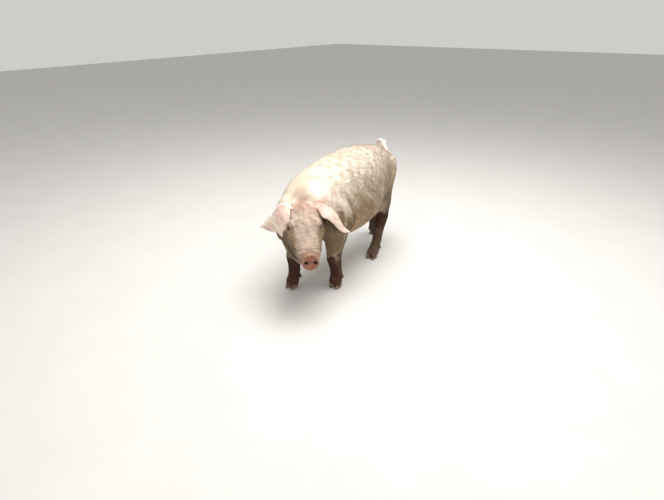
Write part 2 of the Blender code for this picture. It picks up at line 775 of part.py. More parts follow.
def main():
    clear_scene()
    body = flesh()
    carve_face(body)
    thinned(body, FLESH_TRIANGLES)
    eyes = eye_balls()
    claws = claws_of_all_feet()
    make_room(body, eyes + claws)
    largest_piece(body)
    ears = [ear(name) for name in EARS]
    tails = [tail()]
    grown_on(ears + tails, body)
    skins = [part_off(body, "head", head_cell), part_off(body, "neck", neck_cell)]
    for end, hand, side, feet_place, stride, inset in feet():
        length = FORELEG_CELL if end == "front" else HIND_LEG_CELL
        cell = lambda grow: leg_cell(side, feet_place, stride, length, grow)
        skins.append(part_off(body, f"leg_{end}_{hand}", cell))
    body.name = "torso"
    skins.append(largest_piece(body))
    for skin in skins + ears + tails:
        painted(skin, (0.80, 0.62, 0.50), 0.6)
    for eye in eyes:
        painted(eye, (0.05, 0.03, 0.02), 0.1)
    for claw in claws:
        painted(claw, (0.22, 0.17, 0.13), 0.5)
    set_on_origin(skins + ears + tails + eyes + claws)


main()
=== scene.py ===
"""A life-size white domestic pig in a slow walk: one skin, a bristle coat, eyes and claws, on a plain stage.

The file is laid out as an add-on and is run as a script. Sizes are in metres and angles in degrees.
Shapes are worked out in the animal's own frame, with the trunk's middle over the origin, the snout end
towards -Y and its left side towards +X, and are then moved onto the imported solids.
"""

import math

import bmesh
import bpy
import numpy as np
from bpy.props import FloatProperty, FloatVectorProperty, IntProperty, PointerProperty
from mathutils import Matrix, Vector
from mathutils.bvhtree import BVHTree


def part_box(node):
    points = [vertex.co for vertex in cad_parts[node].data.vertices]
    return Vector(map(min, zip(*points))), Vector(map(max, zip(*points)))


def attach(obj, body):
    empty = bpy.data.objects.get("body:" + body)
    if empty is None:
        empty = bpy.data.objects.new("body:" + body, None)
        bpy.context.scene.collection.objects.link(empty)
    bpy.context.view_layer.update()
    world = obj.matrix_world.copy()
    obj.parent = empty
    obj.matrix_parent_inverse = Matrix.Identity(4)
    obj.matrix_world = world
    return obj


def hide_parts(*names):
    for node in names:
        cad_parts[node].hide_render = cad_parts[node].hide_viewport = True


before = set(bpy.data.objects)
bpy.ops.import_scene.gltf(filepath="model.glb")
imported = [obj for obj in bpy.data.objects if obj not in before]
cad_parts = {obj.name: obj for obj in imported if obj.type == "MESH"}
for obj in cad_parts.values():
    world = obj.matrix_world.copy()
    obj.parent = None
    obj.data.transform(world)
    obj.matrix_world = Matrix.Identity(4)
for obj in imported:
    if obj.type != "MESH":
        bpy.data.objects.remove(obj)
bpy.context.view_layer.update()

bl_info = {
    "name": "White pig",
    "version": (1, 0, 0),
    "blender": (4, 5, 0),
    "location": "3D View > Sidebar > Pig",
    "description": "Dresses the solids of a standing white pig with skin, bristles, eyes and claws",
    "category": "Object",
}

# The animal, as the solids have it
WITHERS_HEIGHT = 0.66
HEAD_YAW = 45.0
HEAD_PITCH = 24.0
HEAD_ROLL = 3.0
HEAD_PLACE = (0.002, -0.440, 0.470)
EYE_RADIUS = 0.0125
EYE_RINGS = 48
CORNEA_RISE = 0.055
LID_THICKNESS = 0.0030
EAR_THICKNESS = 0.0045
EAR_STEPS = 8
FRONT_FEET_PLACE = -0.335
HIND_FEET_PLACE = 0.365
FRONT_STRIDES = (0.078, -0.064)
FRONT_INSETS = (-0.010, 0.010)
HIND_STRIDES = (-0.185, 0.176)
HIND_INSETS = (0.0, 0.030)
LEG_TOP = 0.57
FOOT_OUT = 0.102
LEADING_EASE = 0.8
TRAILING_EASE = 1.3

# Fineness of the flesh before the skin is drawn over it
LOFT_STEPS = 5
RING_POINTS = 36
FLESH_VOXEL = 0.0045
BROAD_SMOOTHING = 34
FINE_SMOOTHING = 5

# The trunk from rump to chest, each as a share of the withers' height:
# place along the back, centre height, half width, rise to the back, drop to the belly.
TRUNK_SECTIONS = (
    (0.765, 0.800, 0.030, 0.030, 0.050),
    (0.755, 0.800, 0.085, 0.060, 0.100),
    (0.715, 0.790, 0.130, 0.120, 0.190),
    (0.640, 0.775, 0.160, 0.198, 0.255),
    (0.520, 0.764, 0.186, 0.262, 0.300),
    (0.360, 0.754, 0.234, 0.306, 0.340),
    (0.180, 0.745, 0.280, 0.330, 0.368),
    (0.000, 0.738, 0.295, 0.335, 0.372),
    (-0.170, 0.732, 0.295, 0.325, 0.358),
    (-0.330, 0.728, 0.285, 0.308, 0.332),
    (-0.460, 0.726, 0.258, 0.280, 0.300),
    (-0.570, 0.726, 0.212, 0.238, 0.255),
    (-0.640, 0.730, 0.140, 0.165, 0.185),
    (-0.660, 0.732, 0.055, 0.070, 0.075),
)
TRUNK_ROUNDNESS = (0.90, 0.80)
TRUNK_AXIS_HEIGHT = 0.49

# The neck: where it starts between the shoulders, where it ends in head axes, its half width, rise and drop
# at each end, and how much it swells between them
NECK_START = (0, -0.215, 0.488)
NECK_END = (0.035, 0, -0.012)
NECK_GIRTHS = ((0.170, 0.192, 0.200), (0.112, 0.098, 0.130))
NECK_SWELLING = 0.10
NECK_RINGS = 14

# The tail: its radius, its way up to the curl, and where the curl starts, its radius, its turn in degrees
# and how far it moves back in a whole turn
TAIL_RADIUS = 0.0095
TAIL_ROOT = ((0, 0.458, 0.562), (0.003, 0.492, 0.584), (-0.002, 0.510, 0.610))
TAIL_CURL_START = (-0.028, 0.513, 0.640)
TAIL_CURL_RADIUS = 0.025
TAIL_CURL_TURN = 420
TAIL_CURL_PITCH = 0.028

# A leg from inside the body down to the top of its claws:
# height, place outwards, place behind the foot, half width, reach forwards, reach backwards.
FORELEG_SECTIONS = (
    (0.570, 0.085, 0.050, 0.045, 0.080, 0.085),
    (0.500, 0.100, 0.045, 0.062, 0.105, 0.110),
    (0.420, 0.110, 0.035, 0.068, 0.105, 0.108),
    (0.360, 0.114, 0.030, 0.064, 0.088, 0.094),
    (0.300, 0.114, 0.022, 0.058, 0.067, 0.073),
    (0.255, 0.110, 0.012, 0.048, 0.054, 0.057),
    (0.220, 0.107, 0.006, 0.042, 0.046, 0.047),
    (0.180, 0.104, 0.001, 0.040, 0.042, 0.041),
    (0.150, 0.104, 0.002, 0.037, 0.037, 0.039),
    (0.115, 0.103, 0.006, 0.035, 0.033, 0.035),
    (0.085, 0.103, 0.006, 0.035, 0.034, 0.038),
    (0.060, 0.102, -0.002, 0.037, 0.034, 0.038),
    (0.040, 0.102, -0.010, 0.039, 0.035, 0.036),
    (0.022, 0.102, -0.014, 0.036, 0.031, 0.034),
)
HIND_LEG_SECTIONS = (
    (0.610, 0.065, 0.000, 0.045, 0.090, 0.080),
    (0.540, 0.076, 0.000, 0.062, 0.135, 0.106),
    (0.460, 0.080, -0.010, 0.063, 0.155, 0.116),
    (0.395, 0.086, -0.010, 0.062, 0.148, 0.106),
    (0.340, 0.095, 0.002, 0.057, 0.115, 0.088),
    (0.300, 0.100, 0.018, 0.046, 0.074, 0.066),
    (0.270, 0.101, 0.030, 0.040, 0.054, 0.053),
    (0.240, 0.102, 0.036, 0.037, 0.045, 0.049),
    (0.205, 0.103, 0.033, 0.035, 0.041, 0.043),
    (0.160, 0.103, 0.022, 0.032, 0.036, 0.036),
    (0.115, 0.103, 0.020, 0.031, 0.033, 0.034),
    (0.085, 0.103, 0.012, 0.033, 0.033, 0.037),
    (0.060, 0.103, 0.000, 0.036, 0.034, 0.038),
    (0.040, 0.103, -0.010, 0.038, 0.035, 0.036),
    (0.022, 0.103, -0.014, 0.035, 0.031, 0.034),
)

# The head from the neck to the snout, in head axes: forward, up, tilt, half width, rise, drop.
HEAD_SECTIONS = (
    (-0.110, -0.012, 0.0, 0.060, 0.060, 0.080),
    (-0.090, -0.012, 0.0, 0.110, 0.105, 0.140),
    (-0.040, -0.006, 0.0, 0.121, 0.112, 0.146),
    (0.015, 0.000, 0.0, 0.121, 0.104, 0.142),
    (0.070, 0.000, 0.0, 0.115, 0.085, 0.130),
    (0.120, 0.000, 0.0, 0.104, 0.063, 0.112),
    (0.165, 0.000, 0.0, 0.091, 0.046, 0.092),
    (0.210, 0.000, 2.0, 0.078, 0.038, 0.071),
    (0.250, 0.000, 8.0, 0.067, 0.036, 0.055),
    (0.282, -0.001, 17.0, 0.056, 0.036, 0.045),
    (0.303, -0.002, 25.0, 0.043, 0.035, 0.037),
    (0.314, -0.003, 30.0, 0.0435, 0.043, 0.041),
    (0.324, -0.002, 32.0, 0.0425, 0.042, 0.040),
    (0.3265, -0.002, 32.0, 0.033, 0.033, 0.031),
)
JAW_SECTIONS = (
    (0.000, -0.080, 0.0, 0.075, 0.040, 0.050),
    (0.030, -0.086, 0.0, 0.104, 0.055, 0.060),
    (0.090, -0.084, 0.0, 0.106, 0.055, 0.060),
    (0.150, -0.078, 0.0, 0.096, 0.045, 0.052),
    (0.200, -0.071, 4.0, 0.083, 0.032, 0.042),
    (0.240, -0.064, 8.0, 0.066, 0.022, 0.033),
    (0.270, -0.057, 12.0, 0.047, 0.016, 0.024),
    (0.287, -0.053, 14.0, 0.022, 0.009, 0.011),
)
FACE_MIDDLE = (0.12, 0, -0.03)
EYE_PLACE = (0.120, 0.0735, 0.031)
EYE_LOOK = (0.52, 0.76, 0.38)
NOSTRIL_PLACE = (0.328, 0.0225, -0.001)
SNOUT_TILT = 32.0
SNOUT_PLACE = (0.326, 0.0, -0.002)
SNOUT_RADII = (0.0430, 0.0415)
NOSTRIL_RADII = (0.0108, 0.0068)
NOSTRIL_DEPTH = 0.016
LID_RADII = (0.0113, 0.0072)
LID_OPENING = ((0.004, 0.0070, 0.0038), (0.030, 0.0200, 0.0128))
LASH_LINE = (0.0124, 0.0086)
LASH_LENGTHS = (0.0050, 0.0105)
LASH_WIDTH = 0.00030
LASH_CORNERS = (22, 158)
LASH_FAN = 0.16

# The line between the lips, forward and up, and the line below each ear along which its shadow is painted:
# forward, left and up
MOUTH_LINE = (
    (0.305, -0.046),
    (0.292, -0.046),
    (0.262, -0.050),
    (0.225, -0.058),
    (0.185, -0.062),
    (0.150, -0.054),
)
UNDER_EAR = ((0.088, 0.105, 0.030), (0.067, 0.141, -0.004), (0.077, 0.170, -0.030))

# Swellings on each side of the head that the smoothing blends in: place, then radii
HEAD_SWELLINGS = {
    "brow": ((0.104, 0.063, 0.048), (0.034, 0.024, 0.014)),
    "cheekbone": ((0.100, 0.092, -0.012), (0.050, 0.020, 0.030)),
    "ear root": ((0.014, 0.086, 0.054), (0.040, 0.032, 0.036)),
    "jaw corner": ((0.030, 0.092, -0.085), (0.055, 0.036, 0.050)),
}

# Folds of the skin: place, depth and width, or place and depth, in metres, or for the elbow place and slope
MUZZLE_FOLDS = (
    (0.272, 0.0026, 0.0042),
    (0.257, 0.0016, 0.0042),
    (0.241, 0.0013, 0.0045),
    (0.222, 0.0010, 0.0055),
    (0.198, 0.0008, 0.0060),
)
LIP_FOLDS = ((0.232, 0.0018, 0.0050), (0.212, 0.0014, 0.0050), (0.193, 0.0012, 0.0050))
FOREHEAD_FOLDS = (0.076, 0.062, 0.048)
JOWL_FOLDS = ((-0.004, 0.0026), (0.026, 0.0022), (0.056, 0.0016))
NECK_FOLDS = ((-0.345, 0.0030), (-0.385, 0.0035), (-0.310, 0.0020))
ELBOW_FOLDS = ((-0.150, 0.9), (-0.125, 0.8))
KNEE_FOLDS = ((0.205, 0.0010), (0.192, 0.0013), (0.178, 0.0013), (0.165, 0.0010))
FETLOCK_FOLDS = ((0.088, 0.0012), (0.076, 0.0014), (0.064, 0.0014))

# Teats: their first and last place along the belly and how many on each side; a teat's rings, out and radius
TEAT_ROW = (-0.150, 0.270, 7)
TEAT_RINGS = ((-0.008, 0.0075), (0.000, 0.0068), (0.006, 0.0050), (0.011, 0.0046), (0.0135, 0.0030))

# How high the mud reaches on each leg: left and right fore, left and right hind
MUD_TOPS = (0.228, 0.205, 0.300, 0.260)

# The coat: how far its streaks slope down to the rear on the flanks; how fine the streaks, and the wisps
# in them, are across and along, in waves to the metre; the size of a bristle's patch of its map; how many
# bristles one piece may hold; and how far a tip may lie from the skin
COAT_SLOPE = 38.0
STREAKS = ((34.0, 6.5), (150.0, 17.0))
PATCH = 0.003
MOST_IN_A_PIECE = 49000
BRISTLE_REACH = 0.02
COAT_SEED = 12
LASH_SEED = 15

# How far round a join its points are looked at, and how near to an ear or the tail a point counts as its own
JOIN_REACH = 0.03
ON_LEAF = 0.0015

# The stage: the floor's corners, the lights' places, targets, sizes, shares of the key's power and colours,
# and the light from all round
FLOOR_CORNERS = ((-14, -14, 0), (14, -14, 0), (14, 22, 0), (-14, 22, 0))
LIGHTS = {
    "key": ((0.3, 0.2, 3.4), (0, 0.05, 0.4), 2.6, 1.0, (1.0, 0.985, 0.96)),
    "fill": ((2.6, -2.8, 2.2), (0, -0.1, 0.4), 2.2, 0.22, (1.0, 0.98, 0.95)),
}
SKY_COLOUR = (1.0, 0.985, 0.955)

# The camera stands at chest height, ahead and to the left of the pig: its sensor's width in millimetres, the
# picture's width in pixels, its place, and how many degrees it looks down and turns to its left
SENSOR_WIDTH = 36.0
FRAME_WIDTH = 664
CAMERA_PLACE = (1.4496, -2.3712, 1.4)
CAMERA_DIP = 25.2
CAMERA_TURN = 33.0

# Each ear's rows from root to tip, in head axes: back edge's place, front edge's place, and how far it cups.
EARS = {
    "ear_left": (
        (-0.020, 0.080, 0.038, 0.045, 0.045, 0.066, 0.020),
        (-0.030, 0.108, 0.043, 0.050, 0.067, 0.082, 0.026),
        (-0.015, 0.136, 0.038, 0.088, 0.092, 0.062, 0.030),
        (0.000, 0.161, 0.027, 0.094, 0.116, 0.052, 0.028),
        (0.026, 0.189, -0.002, 0.100, 0.142, 0.034, 0.022),
        (0.052, 0.216, -0.032, 0.104, 0.181, -0.012, 0.014),
        (0.074, 0.238, -0.047, 0.102, 0.217, -0.045, 0.007),
        (0.092, 0.252, -0.050, 0.097, 0.250, -0.052, 0.0015),
    ),
    "ear_right": (
        (-0.018, -0.078, 0.040, 0.045, -0.045, 0.070, 0.016),
        (-0.028, -0.107, 0.047, 0.055, -0.066, 0.090, 0.024),
        (-0.022, -0.123, 0.033, 0.110, -0.078, 0.058, 0.030),
        (-0.018, -0.139, 0.011, 0.132, -0.104, -0.025, 0.030),
        (-0.014, -0.153, -0.010, 0.097, -0.127, -0.030, 0.022),
        (-0.010, -0.168, -0.031, 0.064, -0.150, -0.055, 0.016),
        (-0.006, -0.188, -0.055, 0.032, -0.178, -0.073, 0.009),
        (-0.001, -0.205, -0.076, 0.003, -0.204, -0.079, 0.0015),
    ),
}

# The claws: how far a foot's pair stands from its middle line, how far ahead of the leg's foot, and how far
# they splay in degrees; then the dew claws' height, and how far they sit from the middle line and behind
CLAW_SPACING = 0.0165
CLAW_AHEAD = 0.012
CLAW_SPLAY = 4
DEW_CLAW_HEIGHT = 0.066
DEW_CLAW_SPACING = 0.021
DEW_CLAW_BEHIND = 0.026

# A claw from its flat sole to its top: height, reach forwards, reach backwards, half width.
CLAW_SECTIONS = (
    (0.000, 0.036, 0.026, 0.0138),
    (0.005, 0.0365, 0.027, 0.0152),
    (0.020, 0.027, 0.028, 0.0150),
    (0.036, 0.016, 0.026, 0.0138),
    (0.046, 0.006, 0.018, 0.0100),
)

# A dew claw from its tip to its top: height beside its middle, and radius
DEW_CLAW_SECTIONS = (
    (-0.021, 0.0035),
    (-0.016, 0.0065),
    (-0.004, 0.0085),
    (0.006, 0.0085),
    (0.014, 0.0050),
)

GROWERS = ("", *EARS, "tail", "teat")
FLESH_NODES = (
    "torso", "neck", "head", "ear_left", "ear_right", "tail",
    "leg_front_left", "leg_front_right", "leg_hind_left", "leg_hind_right",
)


# Shapes


def catmull_rom(rows, steps):
    """Rows of a table with steps - 1 smooth rows put in between each two."""
    rows = np.array(rows, float)
    padded = np.vstack([2 * rows[0] - rows[1], rows, 2 * rows[-1] - rows[-2]])
    made = []
    for i in range(len(rows) - 1):
        before, start, end, after = padded[i : i + 4]
        for t in np.arange(steps) / steps:
            made.append(
                0.5
                * (
                    2 * start
                    + (end - before) * t
                    + (2 * before - 5 * start + 4 * end - after) * t**2
                    + (3 * start - before - 3 * end + after) * t**3
                )
            )
    made.append(rows[-1])
    return np.array(made)


def section_ring(centre, side, up, half_width, rise, drop, roundness=(1, 1), points=RING_POINTS):
    """A closed egg-shaped ring round a centre, wide along side and high along up."""
    turn = np.linspace(0, 2 * math.pi, points, endpoint=False)
    power = np.where(np.sin(turn) > 0, *roundness)
    across = np.sign(np.cos(turn)) * np.abs(np.cos(turn)) ** power * half_width
    height = np.sign(np.sin(turn)) * np.abs(np.sin(turn)) ** power
    height = np.where(height > 0, height * rise, height * drop)
    return np.array(centre) + np.outer(across, side) + np.outer(height, up)


def linked(name, data):
    """A new object in the scene."""
    made = bpy.data.objects.new(name, data)
    bpy.context.scene.collection.objects.link(made)
    return made


def mesh_object(name, points, faces):
    mesh = bpy.data.meshes.new(name)
    mesh.from_pydata([tuple(p) for p in points], [], [tuple(int(i) for i in face) for face in faces])
    return linked(name, mesh)


def loft(rings, name="loft"):
    """A closed tube through rings of equally many points, with flat ends."""
    count = len(rings[0])
    faces = []
    for r in range(len(rings) - 1):
        for p in range(count):
            q = (p + 1) % count
            faces.append((r * count + p, r * count + q, (r + 1) * count + q, (r + 1) * count + p))
    faces.append(tuple(reversed(range(count))))
    faces.append(tuple(range((len(rings) - 1) * count, len(rings) * count)))
    made = mesh_object(name, [p for ring in rings for p in ring], faces)
    shape = bmesh.new()
    shape.from_mesh(made.data)
    bmesh.ops.recalc_face_normals(shape, faces=shape.faces)
    shape.to_mesh(made.data)
    shape.free()
    return made


def ball(centre, radii, turn, rings=20):
    """A stretched sphere, its axes turned by a 3 x 3 matrix."""
    mesh = bpy.data.meshes.new("ball")
    shape = bmesh.new()
    bmesh.ops.create_uvsphere(shape, u_segments=rings + 4, v_segments=rings, radius=1)
    shape.transform(Matrix.Translation(Vector(centre)) @ turn.to_4x4() @ Matrix.Diagonal((*radii, 1)))
    shape.to_mesh(mesh)
    shape.free()
    return linked("ball", mesh)


def head_axes():
    """The head's axes: forward along the muzzle, to its left, and up."""
    turn = (
        Matrix.Rotation(math.radians(HEAD_YAW), 3, "Z")
        @ Matrix.Rotation(math.radians(HEAD_PITCH), 3, "X")
        @ Matrix.Rotation(math.radians(HEAD_ROLL), 3, "Y")
    )
    return turn @ Vector((0, -1, 0)), turn @ Vector((1, 0, 0)), turn @ Vector((0, 0, 1))


def along_head(forward, left, up):
    ahead, side, top = head_axes()
    return ahead * forward + side * left + top * up


def in_head(forward, left, up):
    return Vector(HEAD_PLACE) + along_head(forward, left, up)


def head_coordinates(places):
    """Each point's place forward, left and up in the head's axes."""
    return (places - np.array(HEAD_PLACE)) @ np.array([tuple(axis) for axis in head_axes()]).T


def head_tube(sections):
    rings = []
    for forward, up, tilt, half_width, rise, drop in catmull_rom(sections, LOFT_STEPS):
        lean = math.radians(tilt)
        top = along_head(-math.sin(lean), 0, math.cos(lean))
        rings.append(section_ring(in_head(forward, 0, up), along_head(0, 1, 0), top, half_width, rise, drop))
    return loft(rings)


def brow_and_ear_roots():
    """The lids' balls, and swellings that the smoothing blends in."""
    made = []
    turn = Matrix((along_head(1, 0, 0), along_head(0, 1, 0), along_head(0, 0, 1))).transposed()
    for side in (1, -1):
        made.append(ball(eye_middle(side), [EYE_RADIUS + LID_THICKNESS] * 3, turn))
        for (forward, left, up), radii in HEAD_SWELLINGS.values():
            made.append(ball(in_head(forward, side * left, up), radii, turn))
    return made


def trunk_tube():
    rings = []
    for place, height, half_width, rise, drop in catmull_rom(TRUNK_SECTIONS, LOFT_STEPS) * WITHERS_HEIGHT:
        centre = (0, place, height)
        rings.append(section_ring(centre, (1, 0, 0), (0, 0, 1), half_width, rise, drop, TRUNK_ROUNDNESS))
    return loft(rings)


def neck_tube():
    """The neck bends from between the shoulders into the back of the head."""
    start, start_way = Vector(NECK_START), Vector((0, -1, 0))
    end, end_way = in_head(*NECK_END), along_head(1, 0, 0)
    reach = (end - start).length
    first, last = np.array(NECK_GIRTHS)
    rings = []
    for t in np.linspace(0, 1, NECK_RINGS):
        ease = t * t * (3 - 2 * t)
        centre = (
            start * (2 * t**3 - 3 * t**2 + 1)
            + start_way * (reach * (t**3 - 2 * t**2 + t))
            + end * (3 * t**2 - 2 * t**3)
            + end_way * (reach * (t**3 - t**2))
        )
        way = start_way.lerp(end_way, ease).normalized()
        side = way.cross(Vector((0, 0, 1)).lerp(along_head(0, 0, 1), ease)).normalized()
        up = side.cross(way).normalized()
        thick = 1 + NECK_SWELLING * math.sin(math.pi * t)
        rings.append(section_ring(centre, side, up, *((first + (last - first) * ease) * thick)))
    return loft(rings)


def feet():
    """Each foot's end and hand, side, its pair's place, and how far it stands behind and in from that."""
    for end, feet_place, strides, insets in (
        ("front", FRONT_FEET_PLACE, FRONT_STRIDES, FRONT_INSETS),
        ("hind", HIND_FEET_PLACE, HIND_STRIDES, HIND_INSETS),
    ):
        for hand, side, stride, inset in zip(("left", "right"), (1, -1), strides, insets):
            yield end, hand, side, feet_place, stride, inset


def swing(height, stride):
    """How much of a foot's stride a leg has taken up at a height."""
    share = max(0.0, (LEG_TOP - height) / LEG_TOP)
    return share ** (LEADING_EASE if stride < 0 else TRAILING_EASE)


def leg_rows(sections, side, feet_place, stride, inset):
    """A leg's rows from top to foot: middle across and along, height, half width, reach behind and ahead."""
    rows = []
    for height, out, back, half_width, ahead, behind in catmull_rom(sections, LOFT_STEPS):
        share = swing(height, stride)
        across = side * (out - inset * share)
        rows.append((across, feet_place + back + stride * share, height, half_width, behind, ahead))
    return rows


def leg_tube(*leg):
    return loft([section_ring(row[:3], (1, 0, 0), (0, 1, 0), *row[3:]) for row in leg_rows(*leg)])


def all_legs():
    for end, hand, side, feet_place, stride, inset in feet():
        sections = FORELEG_SECTIONS if end == "front" else HIND_LEG_SECTIONS
        yield end, hand, (sections, side, feet_place, stride, inset)


def joined(items, name):
    bpy.ops.object.select_all(action="DESELECT")
    for item in items:
        item.select_set(True)
    bpy.context.view_layer.objects.active = items[0]
    bpy.ops.object.join()
    items[0].name = name
    return items[0]


def applied(item):
    """The item with its modifiers made part of its mesh."""
    bpy.context.view_layer.update()
    graph = bpy.context.evaluated_depsgraph_get()
    mesh = bpy.data.meshes.new_from_object(item.evaluated_get(graph))
    item.modifiers.clear()
    item.data = mesh
    return item


def removed(*items):
    for item in items:
        bpy.data.objects.remove(item)


def fused(item, voxel):
    remesh = item.modifiers.new("fuse", "REMESH")
    remesh.mode = "VOXEL"
    remesh.voxel_size = voxel
    return applied(item)


def boolean(item, tool, operation):
    cut = item.modifiers.new("cut", "BOOLEAN")
    cut.operation = operation
    cut.solver = "MANIFOLD"
    cut.object = tool
    return applied(item)


def vectors_of(item, kind):
    values = np.empty(len(item.data.vertices) * 3)
    item.data.vertices.foreach_get(kind, values)
    return values.reshape(-1, 3)


def points_of(item):
    return vectors_of(item, "co")


def outward_of(item):
    return vectors_of(item, "normal")


def set_points(item, places):
    item.data.vertices.foreach_set("co", np.asarray(places, np.float32).ravel())
    item.data.update()


def softened(item, weights, iterations):
    """Smooths the item where the weights are above nothing."""
    group = item.vertex_groups.new(name="soft")
    for index in np.flatnonzero(weights > 0.01):
        group.add([int(index)], float(weights[index]), "REPLACE")
    soften = item.modifiers.new("soften", "SMOOTH")
    soften.factor = 0.5
    soften.iterations = iterations
    soften.vertex_group = group.name
    applied(item)
    item.vertex_groups.clear()
    return item


# Measures over many points at once


def ramp(value, low, high):
    """0 at low and 1 at high, with a soft start and end."""
    share = np.clip((value - low) / (high - low), 0, 1)
    return share * share * (3 - 2 * share)


def bump(distance, width):
    return np.exp(-((distance / width) ** 2))


def ripple(places, wavelength, seed):
    """Soft random waves over space, from about -1 to 1."""
    draw = np.random.default_rng(seed)
    total = np.zeros(len(places))
    for _ in range(7):
        way = draw.normal(size=3)
        way /= np.linalg.norm(way)
        length = wavelength * draw.uniform(0.7, 1.4)
        total += np.sin(places @ way * (2 * math.pi / length) + draw.uniform(0, 2 * math.pi))
    return total / 2.6


def distance_to_line(places, line):
    """Each point's distance to a line of points."""
    nearest = np.full(len(places), np.inf)
    for start, end in zip(line[:-1], line[1:]):
        way = end - start
        along = np.clip((places - start) @ way / (way @ way), 0, 1)
        nearest = np.minimum(nearest, np.linalg.norm(places - start - along[:, None] * way, axis=1))
    return nearest


def distance(places, point):
    """Each place's distance from one point."""
    return np.linalg.norm(places - np.array(point), axis=1)


def unit(ways):
    return ways / np.maximum(np.linalg.norm(ways, axis=1), 1e-9)[:, None]


def square_to(ways, axes):
    """The ways turned square to some unit axes, at unit length."""
    return unit(ways - axes * np.sum(ways * axes, axis=1)[:, None])


def nearest_of(places, path):
    """The number of the path's point nearest to each place."""
    return ((places[:, None] - path[None]) ** 2).sum(2).argmin(1)


def face_share(places):
    """1 on the head ahead of the poll, 0 on the neck and body."""
    ahead = head_coordinates(places)[:, 0]
    near = ramp(distance(places, in_head(*FACE_MIDDLE)), 0.27, 0.24)
    return ramp(ahead, -0.03, 0.05) * near


def leg_share(places):
    """1 on a leg below the body, 0 on the body; the nearest leg; and each point's place round its middle."""
    share = np.zeros(len(places))
    which = np.zeros(len(places), int)
    around = np.zeros((len(places), 2))
    for index, (_, _, leg) in enumerate(all_legs()):
        rows = np.array(leg_rows(*leg))[::-1]
        across, along, half, behind, ahead = (
            np.interp(places[:, 2], rows[:, 2], rows[:, column]) for column in (0, 1, 3, 4, 5)
        )
        away = places[:, 1] - along
        off = np.hypot((places[:, 0] - across) / half, away / np.where(away > 0, behind, ahead))
        here = ramp(off, 1.6, 1.15) * ramp(places[:, 2], 0.40, 0.28)
        nearer = here > share
        which[nearer] = index
        around[nearer] = np.stack([places[:, 0] - across, away], 1)[nearer]
        share = np.maximum(share, here)
    return share, which, around


# The skin


def look_turn(side):
    """A turn whose third axis is the way that an eye looks and whose first runs to its front corner."""
    look = along_head(EYE_LOOK[0], side * EYE_LOOK[1], EYE_LOOK[2]).normalized()
    ahead = along_head(1, 0, -0.15)
    ahead = (ahead - look * ahead.dot(look)).normalized()
    return Matrix((ahead, look.cross(ahead), look)).transposed()


def lip_height(places):
    """How far each point lies above the line between the lips, and how much the mouth shows there."""
    forward, left, up = head_coordinates(places).T
    rows = catmull_rom(MOUTH_LINE, 4)[::-1]
    shows = ramp(forward, 0.150, 0.180) * ramp(forward, 0.310, 0.305) * (np.abs(left) < 0.13)
    return up - np.interp(forward, rows[:, 0], rows[:, 1]), shows


def eye_middle(side):
    return in_head(EYE_PLACE[0], side * EYE_PLACE[1], EYE_PLACE[2])


def eye_coordinates(places, side):
    """Each point's place along the lids, up and out from an eye's middle."""
    local = (places - np.array(eye_middle(side))) @ np.array(look_turn(side))
    local[:, 1] *= -side
    return local


def almond(side):
    """The opening between the lids, as a solid from the eye's middle outwards."""
    turn = look_turn(side)
    centre = eye_middle(side)
    rings = []
    for out, length, height in LID_OPENING:
        way = np.linspace(0, 2 * math.pi, 40, endpoint=False)
        across = np.cos(way) * length
        rise = np.sin(way) * height * (1 - 0.35 * np.abs(np.cos(way)) ** 2)
        rings.append(np.array([centre + turn @ Vector((a, r, out)) for a, r in zip(across, rise)]))
    return loft(rings)


def snout_coordinates(places):
    """Each point's place across, up and out from the middle of the snout's disc."""
    lean = math.radians(SNOUT_TILT)
    axes = (
        along_head(0, 1, 0),
        along_head(-math.sin(lean), 0, math.cos(lean)),
        along_head(math.cos(lean), 0, math.sin(lean)),
    )
    return (places - np.array(in_head(*SNOUT_PLACE))) @ np.array([tuple(axis) for axis in axes]).T


def nostril_frame(side):
    lean = math.radians(SNOUT_TILT)
    place = in_head(NOSTRIL_PLACE[0], side * NOSTRIL_PLACE[1], NOSTRIL_PLACE[2])
    out = along_head(math.cos(lean), side * 0.10, math.sin(lean)).normalized()
    across = along_head(0.1 * side, 1, -0.35 * side)
    across = (across - out * across.dot(out)).normalized()
    return place, Matrix((across, out.cross(across), out)).transposed()


def nostril_place(places, side):
    """Each point's place across, along and out from a nostril's middle."""
    place, turn = nostril_frame(side)
    return (places - np.array(place)) @ np.array(turn)


def ear_rows(name):
    """An ear's rows from root to tip: middles, ways along, across and outwards, half widths and cups."""
    rows = catmull_rom(EARS[name], EAR_STEPS)
    side = math.copysign(1, rows[-1][1])
    back = np.array([tuple(in_head(*row[:3])) for row in rows])
    wide = np.array([tuple(in_head(*row[3:6])) for row in rows]) - back
    middles = back + wide / 2
    half = np.linalg.norm(wide, axis=1) / 2
    wide /= 2 * half[:, None]
    order = np.arange(len(rows))
    reach = EAR_STEPS // 2
    along = middles[np.minimum(order + reach, len(rows) - 1)] - middles[np.maximum(order - reach, 0)]
    along = square_to(along, wide)
    return middles, along, wide, np.cross(along, wide) * -side, half, rows[:, 6]


